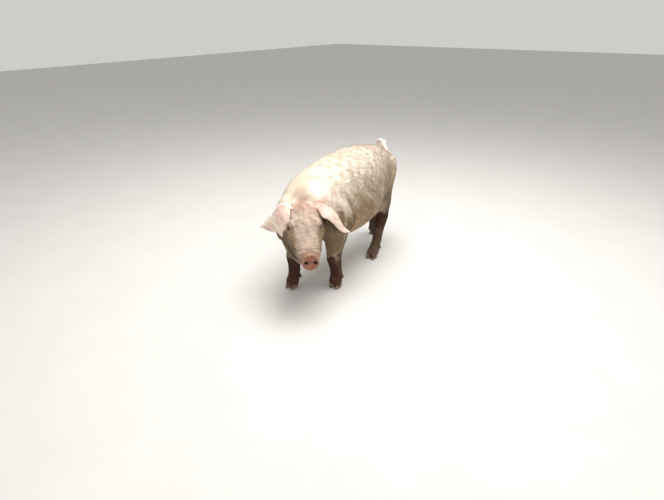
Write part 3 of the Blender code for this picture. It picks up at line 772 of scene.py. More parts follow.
def ear(name):
    """A cupped leaf from the side of the poll to its tip, with soft waves along its edges."""
    rings = []
    middles, _, wides, outs, halves, cups = ear_rows(name)
    for i, (middle, wide, out, half, cup) in enumerate(zip(middles, wides, outs, halves, cups)):
        share = i / (len(middles) - 1)
        radius = (half * half + cup * cup) / (2 * cup)
        spread = math.atan2(half, radius - cup)
        thick = EAR_THICKNESS * (1.4 - 0.8 * share) - 0.0008
        ring = []
        for inner in (0, 1):
            for step in np.linspace(-1, 1, 33):
                v = -step if inner else step
                rim = 1 - 0.45 * abs(v) ** 6
                wave = 0.0012 * math.sin(share * 17 + 2.5 * v) * abs(v) ** 3 * min(1, share * 4)
                fold = 0.0005 * math.sin(9 * v + 4 * share) * (1 - v * v)
                reach = radius - (0.5 + (inner - 0.5) * rim) * thick + wave + fold
                turn = v * spread
                rise = cup - radius + reach * math.cos(turn)
                ring.append(middle + out * rise + wide * (reach * math.sin(turn)))
        rings.append(np.array(ring))
    return loft(rings, name)


def tail_path():
    """The tail rises from the rump and makes one open curl to the pig's right."""
    path = [Vector(place) for place in TAIL_ROOT]
    across, along, height = TAIL_CURL_START
    middle = Vector((across - TAIL_CURL_RADIUS, along, height))
    for turn in np.radians(np.arange(0, TAIL_CURL_TURN + 1, 35)):
        out = Vector((math.cos(turn), 0, math.sin(turn))) * TAIL_CURL_RADIUS
        path.append(middle + out + Vector((0, TAIL_CURL_PITCH * turn / math.tau, 0)))
    return catmull_rom([tuple(p) for p in path], 6)


def tail():
    places = tail_path()
    rings = []
    for i, place in enumerate(places):
        way = Vector(places[min(i + 1, len(places) - 1)] - places[max(i - 1, 0)]).normalized()
        side = way.cross(Vector((0, 1, 0.3))).normalized()
        radius = TAIL_RADIUS * (1.25 - 0.75 * i / len(places)) - 0.0006
        radius *= 1 + 0.025 * math.sin(i * 1.9)
        rings.append(section_ring(place, side, way.cross(side), radius, radius, radius, points=20))
    return loft(rings, "tail")


def teat_places(surface):
    """Two rows of places along the belly, with the outward way at each."""
    for side in (1, -1):
        for place in np.linspace(*TEAT_ROW):
            across = side * (0.062 - 0.05 * abs(place - 0.05) ** 1.2)
            under, outward, _, _ = surface.ray_cast(Vector((across, place, 0.05)), Vector((0, 0, 1)))
            if under is not None:
                yield under, outward


def teats(surface):
    """Two rows of small teats along the belly."""
    made = []
    for under, outward in teat_places(surface):
        rings = []
        for out, radius in TEAT_RINGS:
            centre = under + outward * out
            rings.append(section_ring(centre, (1, 0, 0), (0, 1, 0), radius, radius, radius, points=12))
        made.append(loft(rings))
    return made


def flesh():
    """The whole body without ears and tail, as the solids have it."""
    tubes = [trunk_tube(), neck_tube(), head_tube(HEAD_SECTIONS), head_tube(JAW_SECTIONS)]
    tubes += [leg_tube(*leg) for _, _, leg in all_legs()]
    tubes += brow_and_ear_roots()
    body = fused(joined(tubes, "flesh"), FLESH_VOXEL)
    places = points_of(body)
    face = np.clip(head_coordinates(places)[:, 0] / 0.10, 0, 1)
    face *= distance(places, in_head(*FACE_MIDDLE)) < 0.26
    foot = np.clip((0.36 - places[:, 2]) / 0.14, 0, 1)
    softened(body, 1 - np.maximum(face, foot), BROAD_SMOOTHING)
    return softened(body, np.ones(len(places)), FINE_SMOOTHING)


def refined(item, wanted):
    """Halves the faces whose middle is wanted."""
    shape = bmesh.new()
    shape.from_mesh(item.data)
    shape.faces.ensure_lookup_table()
    middles = np.array([tuple(face.calc_center_median()) for face in shape.faces])
    chosen = wanted(middles)
    edges = {edge for face, take in zip(shape.faces, chosen) if take for edge in face.edges}
    bmesh.ops.subdivide_edges(shape, edges=list(edges), cuts=1, use_grid_fill=True)
    shape.to_mesh(item.data)
    shape.free()
    return item


def drawn_onto(item, surface, wanted):
    """Lays the wanted points of the item on a surface."""
    places = points_of(item)
    for index in np.flatnonzero(wanted(places)):
        hit = surface.find_nearest(Vector(places[index]))[0]
        if hit is not None:
            places[index] = hit
    set_points(item, places)
    return item


def surface_of(item):
    bpy.context.view_layer.update()
    return BVHTree.FromObject(item, bpy.context.evaluated_depsgraph_get())


def on_head(places):
    return face_share(places) > 0.02


def on_lower_legs(places):
    return (places[:, 2] < 0.215) & (leg_share(places)[0] > 0.5)


def on_fine_face(places):
    """The eyes' surroundings, the snout and the mouth."""
    chosen = np.abs(snout_coordinates(places)[:, 2] + 0.016) < 0.032
    chosen &= np.linalg.norm(snout_coordinates(places), axis=1) < 0.075
    lips, shows = lip_height(places)
    chosen |= (np.abs(lips) < 0.013) & (shows > 0)
    for side in (1, -1):
        chosen |= distance(places, eye_middle(side)) < 0.042
    return chosen & on_head(places)


def on_finest_face(places):
    """The lids, the nostrils, the snout's rim and the line of the mouth."""
    lips, shows = lip_height(places)
    chosen = (np.abs(lips) < 0.007) & (shows > 0) & (face_share(places) > 0.5)
    disc = snout_coordinates(places)
    from_rim = np.hypot(disc[:, 0], disc[:, 1]) - 0.042
    chosen |= (np.abs(disc[:, 2] + 0.007) < 0.011) & (np.abs(from_rim) < 0.008)
    for side in (1, -1):
        chosen |= distance(places, eye_middle(side)) < 0.025
        chosen |= distance(places, nostril_frame(side)[0]) < 0.019
    return chosen


def coat_depth(places, trunk_depth):
    """How far the skin lies inside the solids."""
    face = face_share(places)
    legs = leg_share(places)[0]
    snout = ramp(np.linalg.norm(snout_coordinates(places), axis=1), 0.085, 0.055)
    depth = trunk_depth * (1 - 0.55 * face - 0.5 * legs)
    return depth * (1 - 0.85 * snout)


def head_relief(places):
    """Folds over muzzle, brow and cheeks: how far the skin stands out from the plain head."""
    forward, left, up = head_coordinates(places).T
    side = np.abs(left)
    share = face_share(places)
    waver = ripple(places, 0.035, 3) * 0.0025
    out = np.zeros(len(places))
    on_top = ramp(up, -0.012, 0.018)
    for place, depth, width in MUZZLE_FOLDS:
        out -= depth * bump(forward - place + 0.22 * side + waver, width) * on_top
    for place, depth, width in LIP_FOLDS:
        fold = forward - place - 0.55 * (up + 0.01) + waver
        on_lip = ramp(side, 0.035, 0.055) * ramp(up, -0.045, -0.030) * ramp(up, 0.02, 0.0)
        out -= depth * bump(fold, width) * on_lip
    brow = bump(forward - 0.101 - 0.30 * (side - 0.060), 0.010) * bump(side - 0.060, 0.020)
    out += 0.0040 * brow * ramp(up, 0.02, 0.04)
    out -= 0.0030 * bump(forward - 0.135, 0.014) * bump(side - 0.043, 0.012) * on_top
    frown = np.abs(side - 0.016 - 0.20 * (forward - 0.10)) + waver
    out -= 0.0020 * bump(frown, 0.0045) * ramp(up, 0.02, 0.04) * bump(forward - 0.115, 0.05)
    for place in FOREHEAD_FOLDS:
        line = forward - place - 0.25 * side + 1.4 * waver
        out -= 0.0010 * bump(line, 0.0038) * ramp(up, 0.03, 0.05) * ramp(side, 0.06, 0.04)
    out += 0.0022 * bump(side, 0.013) * ramp(up, 0.02, 0.05) * bump(forward - 0.05, 0.06)
    for place, depth in JOWL_FOLDS:
        fold = forward - place - 0.35 * (up + 0.06) + 1.5 * waver
        out -= depth * bump(fold, 0.006) * ramp(up, 0.015, -0.025) * ramp(side, 0.02, 0.06)
    cheek = bump(forward - 0.175 - 0.30 * (up + 0.03) + waver, 0.0065) * ramp(side, 0.06, 0.08)
    out -= 0.0020 * cheek * ramp(up, 0.015, -0.005) * ramp(up, -0.075, -0.055)
    return out * share


def lid_relief(places):
    """Rims, creases and brow folds round the eyes."""
    out = np.zeros(len(places))
    for side in (1, -1):
        along, up, ahead = eye_coordinates(places, side).T
        near = ramp(ahead, -0.004, 0.002) * ramp(np.hypot(along, up), 0.050, 0.034)
        ring = np.hypot(along / LID_RADII[0], up / LID_RADII[1])
        above = ramp(up, -0.002, 0.003)
        turn = np.arctan2(up, along)
        ray = 0.12 * np.sin(turn * 9 + side)
        out += near * 0.0016 * bump(ring - 1.22, 0.20)
        out -= near * 0.0016 * bump(ring - 1.72 + 0.5 * ray, 0.20)
        out += near * (0.0010 + 0.0014 * above) * bump(ring - 2.20 + ray, 0.30)
        out -= near * (0.0010 + 0.0010 * above) * bump(ring - 2.85 + ray, 0.25)
        out += near * 0.0018 * above * bump(ring - 3.50 + ray, 0.45)
        out -= near * 0.0010 * (1 - above) * bump(ring - 3.8 + 2 * ray, 0.35)
        tear = np.hypot(along - 0.0145, (up + 0.0015) * 1.6)
        out -= near * 0.0016 * bump(tear, 0.0035)
    return out


def snout_relief(places):
    """The snout's dished disc, its rolled rim, the crease behind it and the nostrils' edges."""
    across, up, ahead = snout_coordinates(places).T
    ring = np.hypot(across / SNOUT_RADII[0], up / SNOUT_RADII[1])
    near = ramp(np.sqrt(across**2 + up**2 + ahead**2), 0.085, 0.065)
    front = ramp(ahead, -0.012, -0.004)
    out = 0.0020 * bump(ring - 0.88, 0.11) * front
    out -= 0.0018 * ramp(ring, 0.80, 0.50) * front
    out += 0.0005 * ripple(places, 0.011, 8) * front
    out -= 0.0010 * bump(across, 0.0022) * ramp(up, 0.006, 0.014) * front
    behind = -ahead - 0.0190 + 0.0008 * np.sin(np.arctan2(up, across) * 5)
    out -= 0.0028 * bump(behind, 0.0040) * ramp(ring, 0.6, 0.85)
    for side in (1, -1):
        local = nostril_place(places, side)
        edge = np.hypot(local[:, 0] / NOSTRIL_RADII[0], local[:, 1] / NOSTRIL_RADII[1])
        out += 0.0013 * bump(edge - 1.30, 0.25) * front
    return out * near


def lip_relief(places):
    """The line of the mouth with the lips' soft edges."""
    lips, shows = lip_height(places)
    out = 0.0022 * bump(lips - 0.0066, 0.0036) + 0.0016 * bump(lips + 0.0062, 0.0034)
    return (out - 0.0046 * bump(lips, 0.0023)) * shows * face_share(places)


def elbow_fold(places):
    """How far each point lies behind the fold at the shoulder's rear edge, and how much it shows there."""
    across, along, height = places.T
    waver = 0.004 * ripple(places, 0.09, 5)
    behind = along + 0.180 + 0.50 * np.maximum(height - 0.38, 0) + waver
    shows = ramp(height, 0.60, 0.50) * ramp(height, 0.30, 0.35) * ramp(np.abs(across), 0.07, 0.11)
    return behind, shows


def trunk_relief(places):
    """Shoulder, ham, flank and the folds of the neck and elbows."""
    across, along, height = places.T
    side = np.abs(across)
    body = 1 - np.maximum(face_share(places), leg_share(places)[0])
    waver = ripple(places, 0.09, 5)
    behind, shows = elbow_fold(places)
    out = 0.0065 * bump(behind + 0.045, 0.036) * shows
    out -= 0.0075 * bump(behind - 0.004, 0.017) * shows
    out += 0.0015 * bump(behind - 0.045, 0.030) * shows
    out += 0.0050 * bump(along - 0.375, 0.085) * bump(height - 0.50, 0.12) * ramp(side, 0.06, 0.11)
    out -= 0.0065 * bump(along - 0.205, 0.050) * bump(height - 0.415, 0.085) * ramp(side, 0.08, 0.13)
    web = height - 0.300 - 0.40 * (along - 0.10) + 0.004 * waver
    out += 0.0050 * bump(web, 0.016) * bump(along - 0.19, 0.060) * ramp(side, 0.06, 0.11)
    out -= 0.0020 * bump(across, 0.016) * ramp(height, 0.62, 0.68) * ramp(along, -0.20, -0.05)
    for place, depth in NECK_FOLDS:
        bend = along - place - 0.30 * (height - 0.47) + 0.22 * across + 0.006 * waver
        out -= depth * bump(bend, 0.0095) * ramp(height, 0.58, 0.50) * ramp(height, 0.33, 0.38)
    for place, lean in ELBOW_FOLDS:
        fold = along - place - lean * (height - 0.34) + 0.004 * waver
        out -= 0.0025 * bump(fold, 0.007) * bump(height - 0.345, 0.035) * ramp(side, 0.05, 0.10)
    out += 0.0011 * ripple(places, 0.17, 6) + 0.0006 * ripple(places, 0.055, 7)
    return out * body


def leg_relief(places):
    """Joints, tendons and the folds of the lower legs, and the cleft between the claws."""
    height = places[:, 2]
    share, which, around = leg_share(places)
    waver = ripple(places, 0.03, 9) * 0.002
    fore = which < 2
    ahead = np.clip(-around[:, 1] / 0.035, -1, 1)
    out = np.where(fore, 0.0030, 0.0) * bump(height - 0.185, 0.024) * ramp(ahead, 0, 0.8)
    out += np.where(fore, 0.0, 0.0040) * bump(height - 0.240, 0.020) * ramp(-ahead, 0.3, 1.0)
    tendon = bump(around[:, 1] - 0.012, 0.007) * ramp(np.abs(around[:, 0]), 0.015, 0.028)
    out -= 0.0022 * tendon * bump(height - 0.125, 0.035)
    for place, depth in KNEE_FOLDS:
        out -= depth * bump(height - place + waver, 0.0035) * ramp(ahead, -0.2, 0.6) * fore
    for place, depth in FETLOCK_FOLDS:
        out -= depth * bump(height - place + waver + 0.006 * ahead, 0.0030)
    cleft = bump(around[:, 0], 0.0045) * ramp(height, 0.062, 0.040) * ramp(np.abs(ahead), 0.4, 0.9)
    out -= 0.0060 * cleft
    out += 0.0016 * bump(height - 0.037, 0.006) * (1 - cleft)
    out += 0.0006 * ripple(places, 0.022, 10)
    return out * share


def raised(item, *reliefs):
    """Moves every point along its outward way by the sum of some reliefs."""
    places = points_of(item)
    outward = outward_of(item)
    total = sum(relief(places) for relief in reliefs)
    set_points(item, places + outward * total[:, None])
    return item


def nearest_gaps(places, surface, limit):
    """Each point's distance to a surface, or the limit where it is farther."""
    gaps = np.full(len(places), limit)
    for index, place in enumerate(places):
        gap = surface.find_nearest(Vector(place), limit)[3]
        if gap is not None:
            gaps[index] = gap
    return gaps


def near_head_side(places):
    return distance(places, in_head(0.0, 0, 0.05)) < 0.34


def moulded_body(shape):
    """The skin of the body, finest on face and feet, sunk by the coat's depth and folded."""
    skin = flesh()
    flesh_surface = surface_of(skin)
    fused(skin, shape.skin_voxel)
    for wanted in (on_head, on_lower_legs, on_fine_face, on_finest_face):
        refined(skin, wanted)
        drawn_onto(skin, flesh_surface, wanted)
    places = points_of(skin)
    softened(skin, np.maximum(on_head(places), on_lower_legs(places)).astype(float), 3)
    raised(skin, lambda places: -coat_depth(places, shape.coat_depth), trunk_relief, leg_relief)
    raised(skin, head_relief)
    return raised(skin, lid_relief, snout_relief, lip_relief)


def face_openings():
    """The solids that open the lids and hollow the nostrils."""
    made = []
    for side in (1, -1):
        made.append(almond(side))
        place, turn = nostril_frame(side)
        made.append(ball(place, (*NOSTRIL_RADII, NOSTRIL_DEPTH), turn, rings=24))
    return made


def combined(skin, items, operation):
    """Cuts the items out of the skin or joins them to it, and removes them."""
    for item in items:
        boolean(skin, item, operation)
    removed(*items)


def grown_on(places, body_surface, surfaces, nipples):
    """What each point grows on beyond the body itself, and how much its join is to be softened."""
    near = near_head_side(places) | (places[:, 1] > 0.44)
    to_body = np.full(len(places), JOIN_REACH)
    to_body[near] = nearest_gaps(places[near], body_surface, JOIN_REACH)
    owner = np.full(len(places), "", dtype="<U12")
    to_leaf = np.full(len(places), JOIN_REACH)
    for name, surface in surfaces.items():
        found = np.full(len(places), JOIN_REACH)
        found[near] = nearest_gaps(places[near], surface, JOIN_REACH)
        owner[(found < to_leaf) & (found < ON_LEAF) & (to_body > 0.001)] = name
        to_leaf = np.minimum(to_leaf, found)
    for nipple in nipples:
        owner[distance(places, nipple) < 0.017] = "teat"
    return owner, ramp(np.maximum(to_body, to_leaf), 0.014, 0.004) * near


# Markings


def ear_place(places, name):
    """Each point's share along an ear, its share from middle to edge, and its nearest row's number."""
    middles, _, wide, _, half, _ = ear_rows(name)
    near = nearest_of(places, middles)
    across = np.sum((places - middles[near]) * wide[near], axis=1) / half[near]
    return near / (len(middles) - 1), across, near


class Marked:
    """The skin's points, with the measures that several markings share."""

    def __init__(self, places, outward, on_ears):
        self.places = places
        self.on_ears = on_ears
        self.slope = outward[:, 2]
        self.along = places[:, 1]
        self.height = places[:, 2]
        self.forward, self.left, self.up = head_coordinates(places).T
        self.side = np.abs(self.left)
        self.face = face_share(places)
        self.body = 1 - self.face
        self.legs, self.which, self.around = leg_share(places)
        self.waver = ripple(places, 0.09, 21)
        self.fine = ripple(places, 0.03, 22)
        below = ramp(-self.slope, 0.35, 0.85) * ramp(self.height, 0.42, 0.30)
        self.belly = below * (1 - self.legs) * self.body
        self.disc = snout_coordinates(places)
        self.ring = np.hypot(self.disc[:, 0] / SNOUT_RADII[0], self.disc[:, 1] / SNOUT_RADII[1])
        near = ramp(np.linalg.norm(self.disc, axis=1), 0.062, 0.056)
        self.snout = near * ramp(self.disc[:, 2], -0.0185, -0.0145)


def mud_marks(at):
    """Mud up to the knees and hocks, thinner on the legs' outer sides; up the thighs, mud and painted shade.
    """
    ahead = np.clip(-at.around[:, 1] / 0.04, -1, 1)
    outer = at.around[:, 0] * np.where(at.which % 2 == 0, 1, -1)
    top = np.choose(at.which, MUD_TOPS)
    edge = at.height + 0.012 * at.waver + 0.010 * at.fine
    mud = ramp(edge, top + 0.014, top - 0.024) * ramp(at.legs, 0.2, 0.7)
    mud *= 1 - 0.42 * ramp(outer, 0.015, 0.035) * ramp(at.height, 0.05, 0.12) * (at.which != 2)
    # Mud and painted shade up the thighs and upper hind legs
    thigh_mud_and_shade = ramp(at.legs, 0.0, 0.6) * ramp(at.along, 0.05, 0.14) * ramp(ahead, -0.9, 0.5)
    return np.maximum(mud, 0.50 * thigh_mud_and_shade * ramp(at.height + 0.02 * at.waver, 0.48, 0.28))


def dust_and_shade_marks(at):
    """Dust on the flanks, face and ears, thicker towards the bottom of the flanks, where it is partly
    painted shade, and painted shade on the belly.
    """
    along, height = at.along, at.height
    dust_and_shade = ramp(height + 0.020 * at.waver, 0.700, 0.520) * at.body
    dust_and_shade = dust_and_shade * (0.70 + 0.04 * ramp(along, 0.05, 0.35)) * ramp(along, -0.36, -0.16)
    upright = ramp(at.slope, 0.75, 0.25)
    dust_and_shade += 0.10 * ramp(along, 0.26, 0.46) * ramp(height, 0.68, 0.56) * at.body * upright
    dust_and_shade += 0.60 * ramp(height + 0.012 * at.waver, 0.52, 0.37) * at.body * ramp(along, 0.16, -0.10)
    muzzle, jaw = ramp(at.forward, 0.08, 0.18), ramp(at.up, 0.02, -0.06)
    dust_and_shade += at.face * (0.74 + 0.20 * muzzle + 0.20 * jaw + 0.08 * at.fine)
    # Painted shade on the belly
    dust_and_shade += 0.5 * at.belly
    return dust_and_shade * (1 - at.on_ears) + (0.36 + 0.12 * at.fine) * at.on_ears


def stain_and_shade_marks(at):
    """Olive-brown stain and painted shade on cheeks and chin and lower on chest and hams; painted shade in
    the fold behind the elbows and by the right eye.
    """
    # Stain and painted shade on the cheeks, stronger on the left
    stain_and_shade = at.face * ramp(at.side, 0.036, 0.070) * ramp(at.up, 0.060, 0.012) * (0.90 + 0.2 * at.fine)
    stain_and_shade *= np.where(at.left < 0, 1.0, 1.3) * ramp(at.forward, 0.300, 0.262)
    behind, shows = elbow_fold(at.places)
    patch = bump(np.hypot(at.forward - 0.138, at.left + 0.042), 0.018) * ramp(at.up, 0.02, 0.04)
    low = ramp(at.height + 0.015 * at.waver, 0.53, 0.38)
    for more in (
        0.55 * bump(behind - 0.006, 0.014) * shows,
        0.85 * ramp(at.height, 0.50, 0.36) * ramp(at.along, -0.14, -0.22) * at.body,
        0.95 * ramp(at.along, 0.12, 0.30) * low * at.body,
        0.80 * at.face * ramp(at.up, -0.03, -0.10),
        0.50 * at.face * patch,
    ):
        stain_and_shade = np.maximum(stain_and_shade, more)
    return stain_and_shade * (1 - at.on_ears)


def pink_marks(at):
    """Pink on face, snout, belly and ears, round the eyes and at the roots of ears and tail."""
    pink = 0.12 + 0.10 * at.waver + 0.30 * at.belly + 0.28 * at.face
    pink += 0.50 * at.face * ramp(at.forward, 0.268, 0.284) * ramp(at.up, -0.035, -0.010)
    pink += 0.10 * bump(at.forward - 0.05, 0.05) * ramp(at.up, 0.03, 0.06)
    for hand in (1, -1):
        eye = eye_coordinates(at.places, hand)
        pink += 0.45 * bump(np.hypot(eye[:, 0], eye[:, 1] * 1.3), 0.020) * ramp(eye[:, 2], -0.01, 0)
    pink += 0.30 * bump(distance(at.places, tail_path()[4]), 0.06)
    for name, strength in zip(EARS, (0.75, 0.40)):
        pink += strength * bump(distance(at.places, ear_rows(name)[0][EAR_STEPS]), 0.034)
    return np.clip(np.maximum(np.maximum(pink, 0.25 * at.on_ears), at.snout), 0, 1)


def crest_marks(at):
    """Brown hair between the ears and, weaker, down the bridge of the muzzle."""
    crest = bump(at.left + 0.006, 0.044) * ramp(at.up, 0.045, 0.075) * ramp(at.forward, -0.115, -0.045)
    crest *= ramp(at.forward, 0.110, 0.040) * (1.0 + 0.4 * at.fine)
    bridge = bump(at.left + 0.010 - 0.10 * (at.forward - 0.2), 0.020) * ramp(at.forward, 0.13, 0.19)
    return np.maximum(crest, 0.55 * bridge * ramp(at.forward, 0.275, 0.250) * ramp(at.up, 0.01, 0.03))


def shade_marks(at):
    """Painted shade in the muzzle's crease, behind the disc, in the mouth, the nostrils and at the lids'
    edges.
    """
    lips, shows = lip_height(at.places)
    shade = 0.32 * bump(at.forward + 0.25 * at.side - 0.272, 0.0045) * ramp(at.up, 0.0, 0.02) * at.face
    shade = np.maximum(shade, 0.35 * bump(at.disc[:, 2] + 0.0195, 0.0035) * at.face * (at.ring > 0.6))
    shade = np.maximum(shade, 0.88 * bump(lips, 0.0026) * shows * at.face)
    for hand in (1, -1):
        local = nostril_place(at.places, hand)
        hole = np.hypot(local[:, 0] / NOSTRIL_RADII[0], local[:, 1] / NOSTRIL_RADII[1])
        shade = np.maximum(shade, ramp(hole, 1.35, 0.95) * at.snout)
        eye = eye_coordinates(at.places, hand)
        lid = np.hypot(eye[:, 0] / LID_RADII[0], eye[:, 1] / LID_RADII[1])
        shade = np.maximum(shade, 0.70 * ramp(lid, 1.50, 1.08) * ramp(eye[:, 2], -0.002, 0.004))
    return shade


def skin_marks(places, outward, on_ears):
    """What colours the skin: mud, dust and stain, with some painted shade in each; pink, crest hair and
    painted shade; and the snout's own skin.
    """
    at = Marked(places, outward, on_ears)
    pink, shade = pink_marks(at), shade_marks(at)
    # Painted shadow under each ear: dark, and reddish like the shaded skin there
    for hand in (1, -1):
        line = np.array([tuple(in_head(forward, hand * left, up)) for forward, left, up in UNDER_EAR])
        under_ear = bump(distance_to_line(places, line), 0.028) * (on_ears < 0.5)
        shade = np.maximum(shade, 0.68 * under_ear)
        pink = np.maximum(pink, 0.9 * under_ear)
    dirt_and_shade = np.stack([mud_marks(at), dust_and_shade_marks(at), stain_and_shade_marks(at)], 1)
    flush_and_shade = np.stack([pink, crest_marks(at), shade], 1)
    rim = bump(at.ring - 0.97, 0.14) * ramp(at.disc[:, 1], -0.020, 0.012)
    return np.clip(dirt_and_shade, 0, 1), np.clip(flush_and_shade, 0, 1), at.snout * (1 - 0.6 * rim)


def vector_layer(mesh, name, values):
    layer = mesh.attributes.new(name, "FLOAT_VECTOR", "POINT")
    layer.data.foreach_set("vector", np.asarray(values, np.float32).ravel())


def number_layer(mesh, name, values):
    layer = mesh.attributes.new(name, "FLOAT", "POINT")
    layer.data.foreach_set("value", np.asarray(values, np.float32))


def read_layer(mesh, name):
    values = np.empty(len(mesh.vertices) * 3, np.float32)
    mesh.attributes[name].data.foreach_get("vector", values)
    return values.reshape(-1, 3)


def marked(skin, owner):
    """Writes the markings, the place that each point's pattern starts from and its owner into the skin."""
    places, outward = points_of(skin), outward_of(skin)
    dirt_and_shade, flush_and_shade, snout = skin_marks(places, outward, np.isin(owner, list(EARS)).astype(float))
    for name in EARS:
        here = np.flatnonzero(owner == name)
        share, _, row = ear_place(places[here], name)
        # Painted shade inside each ear's cup, where the skin is also pinker
        facing = -np.sum(outward[here] * ear_rows(name)[3][row], axis=1)
        inside = ramp(facing, 0.1, 0.5) * ramp(share, 0.85, 0.25)
        flush_and_shade[here, 2] = np.maximum(flush_and_shade[here, 2], 0.38 * inside)
        flush_and_shade[here, 0] = np.maximum(flush_and_shade[here, 0], 0.95 * inside)
    for name, values in (("place", places), ("dirt_and_shade", dirt_and_shade), ("flush_and_shade", flush_and_shade)):
        vector_layer(skin.data, name, values)
    number_layer(skin.data, "snout", snout)
    number_layer(skin.data, "owner", [GROWERS.index(name) for name in owner])


# Materials


class Finish:
    """A material being made, with short ways to add shader nodes."""

    def __init__(self, name):
        self.material = bpy.data.materials.new(name)
        self.material.use_nodes = True
        self.tree = self.material.node_tree
        self.surface = self.tree.nodes["Principled BSDF"]

    def node(self, kind, inputs=(), output=0, **settings):
        made = self.tree.nodes.new(kind)
        for name, value in settings.items():
            setattr(made, name, value)
        for key, value in dict(inputs).items():
            self.put(made.inputs[key], value)
        return made.outputs[output]

    def put(self, socket, value):
        if isinstance(value, bpy.types.NodeSocket):
            self.tree.links.new(value, socket)
        elif socket.type == "RGBA":
            socket.default_value = (*value, 1)
        else:
            socket.default_value = value

    def layer(self, name, output="Vector"):
        return self.node("ShaderNodeAttribute", output=output, attribute_name=name)

    def parts(self, vector):
        made = self.tree.nodes.new("ShaderNodeSeparateXYZ")
        self.tree.links.new(vector, made.inputs[0])
        return made.outputs

    def noise(self, place, scale, detail=4.0, roughness=0.55):
        inputs = {"Vector": place, "Scale": scale, "Detail": detail, "Roughness": roughness}
        return self.node("ShaderNodeTexNoise", inputs)

    def math(self, operation, first, second=0.0, clamp=False):
        return self.node("ShaderNodeMath", {0: first, 1: second}, operation=operation, use_clamp=clamp)

    def plus(self, first, second, clamp=False):
        return self.math("ADD", first, second, clamp)

    def times(self, first, second):
        return self.math("MULTIPLY", first, second)

    def rest(self, share):
        """What a share leaves of 1."""
        return self.math("SUBTRACT", 1.0, share)

    def wear(self, values):
        """Sets inputs of the surface to numbers, colours or patterns."""
        for name, value in values.items():
            self.put(self.surface.inputs[name], value)

    def spread(self, value, low, high, bottom=0.0, top=1.0):
        inputs = {0: value, 1: low, 2: high, 3: bottom, 4: top}
        return self.node("ShaderNodeMapRange", inputs, interpolation_type="SMOOTHSTEP")

    def blend(self, share, first, second):
        return self.node("ShaderNodeMix", {0: share, 6: first, 7: second}, output=2, data_type="RGBA")

    def around(self, value, strength):
        """A pattern's swing to both sides of nothing."""
        return self.times(self.math("SUBTRACT", value, 0.5), strength)

    def bumped(self, height, strength):
        return self.node("ShaderNodeBump", {"Height": height, "Strength": strength, "Distance": 0.0012})

    def scaled(self, place, scale):
        return self.node("ShaderNodeVectorMath", {0: place, 1: scale}, operation="MULTIPLY")

    def mixed(self, share, first, second):
        return self.node("ShaderNodeMix", {0: share, 2: first, 3: second}, data_type="FLOAT")

    def lying(self, place, way, side, wide, long):
        """A pattern drawn out along one way over the surface, fine across it."""
        depth = Vector(way).cross(Vector(side))
        scaled = {}
        for number, (axis, scale) in enumerate(((way, long), (side, wide), (depth, wide))):
            inputs = {0: place, 1: tuple(Vector(axis) * scale)}
            scaled[number] = self.node("ShaderNodeVectorMath", inputs, 1, operation="DOT_PRODUCT")
        return self.noise(self.node("ShaderNodeCombineXYZ", scaled), 1.0, 4.0, 0.62)


